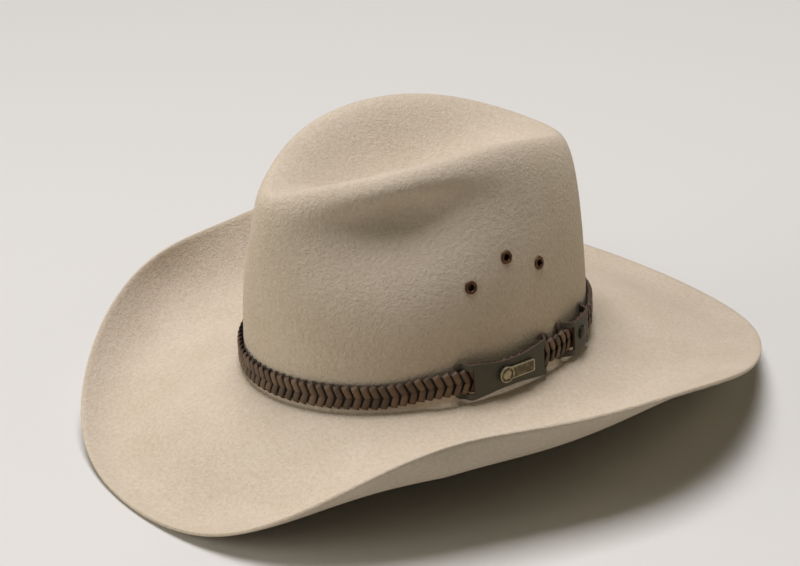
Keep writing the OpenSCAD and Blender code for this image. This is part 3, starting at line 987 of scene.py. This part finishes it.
    def build(self) -> None:
        """Makes the sweatband and what is sewn to it."""
        self.leather()
        p = turns(self.columns)
        path = self.form.under(p, 2, self.depth(0) + self.leather_t / 2)
        path = path - [0, 0, self.drop + self.reed_r + self.gap]
        round_cord("reed", path, self.reed_r, REED, "reed_plastic", "sweatband_reed")
        inner = self.reed_r + self.tape_gap
        round_cord("hem_tape", path, inner + self.tape_t, TAPE, "reed_tape_cloth", "reed_tape",
                   start=0, end=180, inner=inner)
        t = self.leather_t
        self.patch("splice_strip", 14.0, (0.12, 0.88), (t + 0.05, t + 0.4), TAPE, "reed_tape_cloth",
                   "splice_tape")
        self.patch("blank_label", 26.0, (0.25, 0.7), (-0.6, -0.35), LABEL, "label", "size_label")
        self.stitch_line()
        self.splice()
        self.bow()


@dataclass
class Stitching:
    """A run of thread stitches, laid along a path by geometry nodes."""

    name: str
    length: float = 3.6
    radius: float = 0.3
    lean: float = 0.06
    seed: int = 7

    def form(self) -> bpy.types.Object:
        """One stitch: a thread that dives into the leather at both ends."""
        stations, sides = np.linspace(-1, 1, 7), 6
        turn = turns(sides)
        rings = np.array([np.stack([x * self.length / 2 + 0 * turn,
                                    self.radius * np.cos(turn) + self.radius * 1.6 * x**4,
                                    self.radius * np.sin(turn)], -1) for x in stations])
        points, faces, pairs = loft(rings, poles=(rings[0].mean(axis=0), rings[-1].mean(axis=0)))
        return make(self.name + "_form", points, faces, pairs)

    def along(self, path: Array, node: str, closed: bool) -> None:
        """Lays the stitches on the points of a path.

        Args:
            path: a point for each stitch.
            node: the CAD node that they stand for.
            closed: whether the path runs round to its start.
        """
        laying = Placing(self.name, [self.form()], THREAD, self.lean, self.seed)
        place(laying.lay(path, closed), Body.HAT, "thread", node)


@dataclass
class Placing:
    """A geometry node tree that puts one or two forms on each point of a path, turned along it.

    The name is that of the tree and of the piece that it makes. The lean is the most that a form may tip, in
    radians, and the seed is that of the small differences between the forms.
    """

    name: str
    forms: list[bpy.types.Object]
    finish: Finish
    lean: float
    seed: int

    def tree(self) -> tuple[bpy.types.NodeTree, dict[str, str]]:
        """The tree, and the identifier of each named input."""
        tree = bpy.data.node_groups.new(self.name, "GeometryNodeTree")
        tree.is_modifier = True
        sockets = [("Path", "NodeSocketGeometry"), ("Form", "NodeSocketObject"),
                   ("Second form", "NodeSocketObject"), ("Lean", "NodeSocketFloat"),
                   ("Seed", "NodeSocketInt"), ("Finish", "NodeSocketMaterial")]
        for name, kind in sockets:
            tree.interface.new_socket(name=name, in_out="INPUT", socket_type=kind)
        tree.interface.new_socket(name="Result", in_out="OUTPUT", socket_type="NodeSocketGeometry")
        g = Graph(tree)
        given = g.node("NodeGroupInput")
        curve = g.node("GeometryNodeMeshToCurve", {}, {0: given.out("Path")})
        tangent = g.node("GeometryNodeInputTangent")
        kept = g.node("GeometryNodeStoreNamedAttribute", {"data_type": "FLOAT_VECTOR", "domain": "POINT"},
                      {"Geometry": curve, "Name": "run", "Value": tangent})
        points = g.node("GeometryNodeCurveToPoints", {"mode": "EVALUATED"}, {0: kept})
        run = g.node("GeometryNodeInputNamedAttribute", {"data_type": "FLOAT_VECTOR"}, {"Name": "run"})
        turn = g.node("FunctionNodeAxesToRotation", {"primary_axis": "X", "secondary_axis": "Z"},
                      {0: run, 1: (0.0, 0.0, 1.0)})
        results = []
        for shift, which in enumerate(("Form", "Second form")):
            lean = given.out("Lean")
            jitter = g.node("FunctionNodeRandomValue", {"data_type": "FLOAT"},
                            {2: lean * -1.0, 3: lean, "Seed": given.out("Seed") + shift})
            tilt = g.node("ShaderNodeCombineXYZ", {}, {"Y": jitter.out(1)})
            spin = g.node("FunctionNodeEulerToRotation", {}, {0: tilt})
            turned = g.node("FunctionNodeRotateRotation", {"rotation_space": "LOCAL"}, {0: turn, 1: spin})
            shape = g.node("GeometryNodeObjectInfo", {"transform_space": "ORIGINAL"},
                           {"Object": given.out(which)})
            laid = g.node("GeometryNodeInstanceOnPoints", {},
                          {"Points": points, "Instance": shape.out("Geometry"), "Rotation": turned})
            tone = g.node("FunctionNodeRandomValue", {"data_type": "FLOAT"},
                          {2: 0.0, 3: 1.0, "Seed": given.out("Seed") + (shift + 5)})
            results.append(g.node("GeometryNodeStoreNamedAttribute",
                                  {"data_type": "FLOAT", "domain": "INSTANCE"},
                                  {"Geometry": laid, "Name": "tone", "Value": tone.out(1)}))
        joined = g.tree.nodes.new("GeometryNodeJoinGeometry")
        for result in reversed(results):
            g.tree.links.new(result.socket, joined.inputs[0])
        real = g.node("GeometryNodeRealizeInstances", {}, {0: Wire(g, joined, joined.outputs[0])})
        done = g.node("GeometryNodeSetMaterial", {}, {"Geometry": real, "Material": given.out("Finish")})
        g.node("NodeGroupOutput", {}, {0: done})
        inputs = [item for item in tree.interface.items_tree if item.in_out == "INPUT"]
        return tree, {item.name: item.identifier for item in inputs}

    def lay(self, path: Array, closed: bool) -> bpy.types.Object:
        """Lays the forms on the points of a path and returns one plain mesh."""
        n = len(path)
        mesh = bpy.data.meshes.new(self.name)
        edges = [(k, (k + 1) % n) for k in range(n if closed else n - 1)]
        mesh.from_pydata((path * MM).tolist(), edges, [])
        piece = bpy.data.objects.new(self.name, mesh)
        bpy.context.scene.collection.objects.link(piece)
        tree, names = self.tree()
        modifier = piece.modifiers.new("laid", "NODES")
        modifier.node_group = tree
        for which, form in zip(("Form", "Second form"), self.forms):
            modifier[names[which]] = form
        modifier[names["Lean"]] = self.lean
        modifier[names["Seed"]] = self.seed
        modifier[names["Finish"]] = self.finish.material()
        freeze(piece)
        piece.data.shade_smooth()
        for form in self.forms:
            bpy.data.objects.remove(form)
        return piece


@dataclass
class Lining:
    """Satin lining in two panels, the corded seam between them, and the clear film under the tip."""

    form: HatForm = field(default_factory=HatForm)
    columns: int = 240
    satin_t: float = 0.5
    below: float = 1.3
    seam_drop: float = 6.5
    seam_in: float = 1.0
    piping_r: float = 0.7
    piping_drop: float = 0.3
    dent_at: float = 0.8
    dent_follow: float = 0.8
    side_tuck: float = 2.1
    tip_tuck: float = 1.0
    side_from: float = 2.2
    side_to: float = 2.8
    fold_depth: float = 0.9
    fold_at: float = 2.5
    fold_width: float = 0.2
    folds: int = 34
    fold_sway: float = 1.4
    film_t: float = 0.3
    film_gap: float = 0.2

    def seam(self, out: float, rise: float) -> Array:
        """A ring along the seam under the ridge."""
        p = turns(self.columns)
        q = self.form.ridge(p)
        inset = self.seam_in + self.dent_follow * self.form.dent(p, self.dent_at)
        return q + (out - inset)[:, None] * unit(q * [1, 1, 0]) + [0, 0, rise - self.seam_drop]

    def gather(self, rings: list[Array], share: float) -> list[Array]:
        """Adds the soft folds of gathered satin, inwards only."""
        p = turns(self.columns)
        fine = np.cos(self.folds * p + self.fold_sway * np.sin(3 * p))
        wave = 0.5 + 0.5 * fine * np.cos(5 * p + 0.7)
        return [r - (share * wave)[:, None] * unit(r * [1, 1, 0]) for r in rings]

    def build(self) -> None:
        """Makes the side, the tip, the film under it and the corded seam."""
        p, t = turns(self.columns), self.satin_t
        depth = self.form.felt_t + self.below
        rows = np.linspace(self.side_from, self.side_to, 15)
        outer = [self.form.under(p, u, depth) for u in rows] + [self.seam(self.side_tuck, t / 2)]
        inner = ([self.seam(self.side_tuck, -t / 2)]
                 + [self.form.under(p, u, depth + t) for u in rows[::-1]])
        fold = [self.fold_depth * bell((u - self.fold_at) / self.fold_width) for u in rows]
        outer = [self.gather([r], f)[0] for r, f in zip(outer, fold + [0])]
        inner = [self.gather([r], f)[0] for r, f in zip(inner, [0] + fold[::-1])]
        points, faces, pairs = loft(np.array(outer + inner), closed=True)
        side = place(make("lining_side_panel", points, faces, pairs, (SATIN,)), Body.HAT, "satin",
                     "lining_side")
        rim = [self.seam(-self.tip_tuck, t / 2), self.seam(-self.tip_tuck, -t / 2)]
        self.crown_sheet("lining_tip_panel", np.linspace(3.12, 3.94, 15), depth, t, rim, SATIN, "satin",
                         "lining_tip")
        self.crown_sheet("tip_film", np.linspace(3.36, 3.94, 9), depth + t + self.film_gap, self.film_t, [],
                         FILM, "clear_film", "tip_protector")
        round_cord("seam_piping", self.seam(0, -self.piping_drop), self.piping_r, PIPING, "piping_cord",
                   "lining_piping")

    def crown_sheet(self, name: str, rows: Array, depth: float, thick: float, rim: list[Array],
                    finish: Finish, slot: str, node: str) -> None:
        """A sheet under the crease.

        Args:
            name: the piece's name.
            rows: places on the felt's face, outermost first.
            depth: depth of its upper face under the felt's outer face.
            thick: its thickness.
            rim: rings of its edge.
            finish: its finish.
            slot: not used.
            node: the CAD node that it stands for.
        """
        p = turns(self.columns)
        low = np.array([0, self.form.crease_y, self.form.crown_h - self.form.crease_d - depth])
        rings = ([self.form.under(p, u, depth) for u in rows[::-1]] + rim
                 + [self.form.under(p, u, depth + thick) for u in rows])
        points, faces, pairs = loft(np.array(rings), poles=(low, low - [0, 0, thick]))
        place(make(name, points, faces, pairs, (finish,)), Body.HAT, slot, node)


@dataclass
class Plait:
    """The plaited hatband: a core strap with two rows of slanted strands over it."""

    form: HatForm = field(default_factory=HatForm)
    height: float = 14.0
    thick: float = 2.7
    lift_gap: float = 0.35
    stand: float = 1.65
    stand_from: float = 70.0
    stand_to: float = 136.0
    stand_turn: float = 8.0
    pitch: float = 5.1
    slant: float = 1.9
    strand_w: float = 4.1
    strand_t: float = 0.95
    strand_lean: float = 0.035
    tuck: float = 1.3
    past_edge: float = 0.15
    fold_at: float = 0.86
    fold_in: float = 0.35
    sunk: float = 1.35
    swell_h: float = 0.85
    dive: float = 1.15
    start_w: float = 0.72
    overlap: float = 0.28
    core_inset: float = 0.9
    core_rim: float = 0.5
    core_back: float = 0.25
    seed: int = 11

    def off(self, p: Array) -> Array:
        """How far the plait's back stands off the crown at angle p."""
        q = np.degrees(p) % 360
        rise = smooth((q - self.stand_from + self.stand_turn) / self.stand_turn)
        fall = smooth((self.stand_to + self.stand_turn - q) / self.stand_turn)
        return self.lift_gap + self.stand * rise * fall

    def core(self) -> None:
        """The strap under the strands, near black as painted shade in the gaps between them."""
        p = turns(360)
        half, rim, back = self.height / 2 - self.core_inset, self.core_rim, self.core_back
        corner, front = self.thick - rim - 1.0, self.thick - 0.95
        section = [(rim + back, -half), (corner, -half), (front, rim - half), (front, half - rim),
                   (corner, half), (rim + back, half), (back, half - rim), (back, rim - half)]
        middle = self.form.band_middle(p)
        rings = np.array([self.form.oval(self.off(p) + out, p, middle + z) for out, z in section])
        points, faces, pairs = loft(rings, closed=True)
        place(make("plait_core", points, faces, pairs, (PLAIT_CORE_PAINTED_SHADE,)), Body.HATBAND, "plait_leather")

    def strand(self, row: Row) -> bpy.types.Object:
        """One strand, from under the middle of the plait out to its edge and round it."""
        half = self.height / 2
        stations = np.linspace(0, 1, 11)
        # Places across the strand, each with its share of the strand's height.
        section = ((-0.5, 0.05), (-0.44, 0.62), (-0.22, 0.95), (0.06, 1.0), (0.32, 0.8), (0.5, 0.28),
                   (0.48, -0.25), (-0.4, -0.3))
        rings = []
        for s in stations:
            rise = (-self.tuck + (half + self.tuck + self.past_edge) * min(s / self.fold_at, 1)
                    - self.fold_in * max(s - self.fold_at, 0) / (1 - self.fold_at))
            shift = self.slant - 2 * self.slant * min(s / 0.9, 1)
            swell = smooth(s / 0.3) * (1 - smooth((s - 0.66) / 0.3))
            lift = (self.thick - self.sunk + self.swell_h * swell
                    - self.dive * smooth((s - 0.74) / 0.26))
            run = unit(np.array([-2 * self.slant, 0.0, half + self.tuck]))
            across = np.array([run[2], 0.0, -run[0]])
            width = self.strand_w * (self.start_w + (1 - self.start_w) * smooth(s / 0.35))
            ring = []
            for v, high in section:
                shingle = (0.5 - v) * self.overlap
                point = np.array([shift, 0.0, rise]) + width * v * across
                point[1] = -(lift + self.strand_t * high * 0.85 + shingle)
                ring.append(point * [1, 1, row.value])
            rings.append(ring)
        rings = np.array(rings)
        points, faces, pairs = loft(rings, poles=(rings[0].mean(axis=0), rings[-1].mean(axis=0)))
        form = make("strand_" + row.name.lower(), points, faces, pairs)
        # Painted light for the crown attribute: 1 on the strand's outward crest, falling to 0 on its sides and
        # back and towards its tucked and folded ends, which read as painted shade.
        painted_crest_light = np.tile([0.0, 0.55, 1.0, 1.0, 0.7, 0.15, 0.0, 0.0], len(stations))
        fade = np.repeat(smooth(stations / 0.22) * (1 - smooth((stations - 0.75) / 0.25)), len(section))
        set_layer(form, "crown", np.concatenate([painted_crest_light * fade, [0.0, 0.0]]))
        return form

    def strands(self) -> None:
        """Both rows of strands, evenly spaced round the band."""
        dense = turns(7200)
        line = self.form.oval(self.off(dense), dense, self.form.band_middle(dense))
        step = np.linalg.norm(np.roll(line, -1, axis=0) - line, axis=1)
        run = np.concatenate([[0], np.cumsum(step)])
        count = round(run[-1] / self.pitch)
        p = np.interp(np.arange(count) * run[-1] / count, run, np.append(dense, 2 * math.pi))
        forms = [self.strand(row) for row in (Row.UPPER, Row.LOWER)]
        laying = Placing("plait_strands", forms, PLAIT_LEATHER, self.strand_lean, self.seed)
        band = laying.lay(self.form.oval(self.off(p), p, self.form.band_middle(p)), closed=True)
        place(band, Body.HATBAND, "plait_leather", "plaited_band")

    def build(self) -> None:
        """Makes the band."""
        self.core()
        self.strands()


@dataclass
class SlideTab:
    """A leather tab that the plait is threaded through, its ends behind the plait and its middle in front."""

    name: str
    node: str
    body: Body
    start: float
    end: float
    waist: float
    form: HatForm = field(default_factory=HatForm)
    plait: Plait = field(default_factory=Plait)
    leather_t: float = 1.35
    height: float = 22.5
    ramp: float = 2.6
    end_l: float = 2.2
    slot_clear: float = 0.4
    plait_cover: float = 0.9
    flare_slope: float = 1.25
    flare_start: float = 0.1
    corner_at: float = 0.9
    corner_drop: float = 2.2
    slot_margin: float = 0.3
    edge_wear: float = 0.32

    @property
    def high(self) -> float:
        """Offset of the back of the tab's middle from the crown."""
        return self.plait.lift_gap + self.plait.stand + self.plait.thick + self.plait_cover

    def off(self, p: float) -> float:
        """Offset of the leather's back from the crown at angle p in degrees."""
        edge = min(p - self.start, self.end - p)
        low = self.plait.lift_gap
        return low + (self.high - low) * float(smooth((edge - self.end_l) / self.ramp))

    def half_height(self, p: float) -> float:
        """Half the tab's height at angle p."""
        mid, half = (self.start + self.end) / 2, (self.end - self.start) / 2
        s = abs(p - mid) / half
        flare = (self.height - self.waist) / 2 * float(smooth(s * self.flare_slope - self.flare_start))
        corner = max(s - self.corner_at, 0) / (1 - self.corner_at)
        return self.waist / 2 + flare - self.corner_drop * corner**2

    def build(self) -> None:
        """Makes the tab."""
        cols, rows = 4 * round((self.end - self.start) * 0.75), 14
        step = (self.end - self.start) / cols
        slot = self.plait.height / 2 + self.slot_clear
        points = []
        for i in range(cols + 1):
            p = self.start + i * step
            h = self.half_height(p)
            s = min(slot, h - 0.02)
            heights = [-h, -(h + s) / 2, -s, *np.linspace(-s, s, rows - 3)[1:-1], s, (h + s) / 2, h]
            middle = self.form.band_middle(math.radians(p))
            points += [self.form.oval(self.off(p), math.radians(p), middle + z) for z in heights]
        wide = len(points) // (cols + 1)
        faces = []
        for i in range(cols):
            edge = min((i + 0.5) * step, self.end - self.start - (i + 0.5) * step)
            in_ramp = self.end_l - self.slot_margin < edge < self.end_l + self.ramp + self.slot_margin
            for j in range(wide - 1):
                if not (in_ramp and 2 <= j <= wide - 4):
                    a = i * wide + j
                    faces.append([a, a + wide, a + wide + 1, a + 1])
        tab = make(self.name, np.array(points), faces, None, (TAB_LEATHER, TAB_EDGE), closed=False)
        thick = tab.modifiers.new("leather", "SOLIDIFY")
        thick.thickness, thick.offset = self.leather_t * MM, 1.0
        thick.use_even_offset, thick.material_offset_rim = True, 1
        worn = tab.modifiers.new("worn_edges", "BEVEL")
        worn.width, worn.segments = self.edge_wear * MM, 3
        worn.limit_method, worn.angle_limit = "ANGLE", math.radians(50)
        freeze(tab)
        place(tab, self.body, "tab_leather", self.node)


@dataclass
class Badge:
    """A small blank badge: a disc and a bar, each with a raised rim round a sunk field."""

    tab: SlideTab
    angle: float = 92.4
    disc_r: float = 4.9
    length: float = 19.5
    bar_h: float = 7.6
    thick: float = 1.5
    rim_w: float = 0.62
    sunk: float = 0.5
    lift: float = 0.1
    corner_r: float = 1.1
    bar_start: float = 2.5
    disc_stand: float = 0.3

    def axes(self) -> tuple[Array, Array, Array, Array]:
        """Place and axes of the badge on the tab: across, up, outwards."""
        form, p = self.tab.form, math.radians(self.angle)
        point = form.oval(self.tab.high + self.tab.leather_t + self.lift, p, form.band_middle(p))
        out = unit(np.array([math.sin(p) / form.oval_x, -math.cos(p) / form.oval_y, 0.0]))
        across = unit(np.cross([0, 0, 1], out))
        return point, across, np.cross(out, across), out

    def dish(self, outline: Array, centre: Array,
             steps: tuple[tuple[float, float], ...]) -> tuple[Array, list[list[int]], Array]:
        """A shape of nested outlines.

        Args:
            outline: points of a convex outline.
            centre: the point that it shrinks towards.
            steps: how far each outline is inset, and its height.

        Returns:
            Points, faces, and the hollow attribute.
        """
        n = len(outline)
        edge = unit(np.roll(outline, -1, axis=0) - np.roll(outline, 1, axis=0))
        inward = np.stack([-edge[:, 1], edge[:, 0]], -1)
        rings = [np.column_stack([outline + inset * inward, np.full(n, z)]) for inset, z in steps]
        points = np.concatenate(rings + [[[*centre, steps[-1][1]], [*centre, steps[0][1]]]])
        m, faces = len(steps), []
        for i in range(m - 1):
            faces += [[i * n + k, i * n + (k + 1) % n, (i + 1) * n + (k + 1) % n, (i + 1) * n + k]
                      for k in range(n)]
        faces += [[m * n, (m - 1) * n + k, (m - 1) * n + (k + 1) % n] for k in range(n)]
        faces += [[m * n + 1, (k + 1) % n, k] for k in range(n)]
        top = max(z for _, z in steps)
        hollow = np.clip((top - points[:, 2]) / self.sunk, 0, 1)
        return points, faces, hollow

    def build(self) -> None:
        """Makes the badge, and dresses the posts and washers behind it."""
        point, across, up, out = self.axes()
        turn = turns(64)
        disc = self.disc_r * np.stack([np.cos(turn), np.sin(turn)], -1)
        corner, left, right = self.corner_r, self.bar_start, self.length
        h = self.bar_h / 2
        arcs = [(right - corner, h - corner, 0), (left, h - corner, 90), (left, corner - h, 180),
                (right - corner, corner - h, 270)]
        bar = np.array([[x + corner * math.cos(math.radians(a + d)),
                         y + corner * math.sin(math.radians(a + d))]
                        for x, y, a in arcs for d in np.linspace(0, 90, 9)])
        w, t, s = self.rim_w, self.thick, self.sunk
        rise = self.disc_stand
        # Steps from the foot over the rim to the sunk field, as pairs of inset and height.
        profile = ((0.0, 0.0), (0.0, t - 0.25), (0.08, t - 0.08), (0.25, t), (w, t), (w + 0.12, t - 0.1),
                   (w + 0.25, t - s), (w + 0.5, t - s))
        boss = ((w + 1.2, t + rise - s), (w + 1.5, t + 0.12), (w + 2.1, t + 0.2))
        raised = tuple((i, z + rise if z > 0 else z) for i, z in profile) + boss
        parts = [self.dish(disc, np.array([0.0, 0.0]), raised),
                 self.dish(bar, np.array([right / 2 + 1, 0.0]), profile)]
        shift = (self.disc_r - self.length) / 2
        axes = np.array([across, up, out])
        points, faces, hollow, start = [], [], [], 0
        for part, part_faces, part_hollow in parts:
            points.append(point + (part + [shift, 0, 0]) @ axes)
            faces += [[start + c for c in f] for f in part_faces]
            hollow.append(part_hollow)
            start += len(part)
        badge = make("blank_badge", np.concatenate(points), faces, None, (PEWTER,))
        set_layer(badge, "hollow", np.concatenate(hollow))
        place(badge, Body.BADGE_TAB, "pewter", "badge")
        for node in ("badge_posts", "badge_washers"):
            dress(node, PEWTER_PLAIN)


@dataclass(frozen=True)
class Lamp:
    """A square soft light that faces the hat.

    Its place is in metres from the hat, along the camera's right, up the world's Z, and towards the camera. Its
    size is its side in metres, and its power is in watts.
    """

    name: str
    where: tuple[float, float, float]
    size: float
    power: float
    colour: tuple[float, float, float]


@dataclass
class Studio:
    """Floor, lights and camera."""

    azimuth: float = 57.2
    elevation: float = 26.3
    roll: float = -2.9
    distance: float = 1.68
    aim_left: float = 0.01026
    aim_up: float = 0.03205
    lens: float = 128.9
    floor_colour: Colour = paint(206, 204, 199)
    floor_half: float = 14.0
    floor_gap: float = 0.0003
    sky_colour: Colour = (1.0, 0.97, 0.86, 1.0)
    sky_strength: float = 0.02
    lamps: tuple[Lamp, ...] = (
        Lamp("key", (-0.15, 3.0, -0.4), 1.7, 108.0, (0.98, 0.965, 1.0)),
        Lamp("left", (-1.3, 0.5, 0.5), 1.0, 9.0, (1.0, 0.95, 0.84)),
        Lamp("right", (1.3, 0.6, 0.1), 1.0, 2.4, (1.0, 0.92, 0.62)),
    )

    def axes(self) -> tuple[Vector, Vector, Vector]:
        """The camera's right, up and backward directions before its aim is set."""
        a, e, r = (math.radians(v) for v in (self.azimuth, self.elevation, self.roll))
        back = Vector((math.sin(a) * math.cos(e), -math.cos(a) * math.cos(e), math.sin(e)))
        right = Vector((math.cos(a), math.sin(a), 0.0))
        up = back.cross(right)
        return (right * math.cos(r) + up * math.sin(r), up * math.cos(r) - right * math.sin(r), back)

    def camera(self) -> None:
        """Puts the camera in place."""
        right, up, back = self.axes()
        where = back * self.distance
        aim = right * -self.aim_left + up * self.aim_up
        look = (where - aim).normalized()
        side = up.cross(look).normalized()
        data = bpy.data.cameras.new("camera")
        data.lens, data.sensor_width = self.lens, 36.0
        data.clip_start, data.clip_end = 0.05, 60.0
        camera = bpy.data.objects.new("camera", data)
        bpy.context.scene.collection.objects.link(camera)
        turned = Matrix((side, look.cross(side), look)).transposed().to_4x4()
        camera.matrix_world = Matrix.Translation(where) @ turned
        bpy.context.scene.camera = camera

    def light(self, lamp: Lamp) -> None:
        """Adds a light."""
        a = math.radians(self.azimuth)
        right, near = Vector((math.cos(a), math.sin(a), 0)), Vector((math.sin(a), -math.cos(a), 0))
        data = bpy.data.lights.new(lamp.name, "AREA")
        data.shape, data.size, data.energy, data.color = "SQUARE", lamp.size, lamp.power, lamp.colour
        made = bpy.data.objects.new(lamp.name, data)
        bpy.context.scene.collection.objects.link(made)
        made.location = right * lamp.where[0] + Vector((0, 0, lamp.where[1])) + near * lamp.where[2]
        made.rotation_euler = (-Vector(made.location)).to_track_quat("-Z", "Y").to_euler()

    def floor(self) -> None:
        """A wide pale floor just under the brim."""
        low, half = CAD_BOX[0].z - self.floor_gap, self.floor_half
        corners = ((-1, -1), (1, -1), (1, 1), (-1, 1))
        points = np.array([[x * half, y * half, low] for x, y in corners]) / MM
        matt = PlasticFinish("floor", self.floor_colour, 0.85)
        sheet = make("floor", points, [[0, 1, 2, 3]], None, (matt,), closed=False)

    def build(self) -> None:
        """Sets up the studio."""
        self.camera()
        self.floor()
        for lamp in self.lamps:
            self.light(lamp)
        world = bpy.data.worlds.new("studio")
        bpy.context.scene.world = world
        world.use_nodes = True
        world.node_tree.nodes.clear()
        g = Graph(world.node_tree)
        glow = g.node("ShaderNodeBackground", {}, {"Color": self.sky_colour, "Strength": self.sky_strength})
        g.node("ShaderNodeOutputWorld", {}, {"Surface": glow})
        view = bpy.context.scene.view_settings
        view.view_transform, view.look, view.exposure = "Standard", "None", 0.0


def main() -> None:
    """Builds every piece and reports it."""
    logging.basicConfig(level=logging.INFO, format="%(name)s: %(message)s")
    Studio().build()
    form = HatForm()
    FeltHat(form).build()
    Sweatband(form).build()
    Lining(form).build()
    Plait(form).build()
    tab = SlideTab("badge_slide_tab", "slide_tab", Body.BADGE_TAB, 73.5, 108.5, 16.5, form)
    tab.build()
    SlideTab("rear_slide_tab", "rear_keeper", Body.KEEPER, 113.5, 133.0, 18.5, form).build()
    Badge(tab).build()
    for side in ("left", "right"):
        dress("vent_eyelets_" + side, BRASS)
        dress("vent_washers_" + side, BRASS)
    dress("keeper_stud", STUD)


if __name__ == "__main__":
    main()
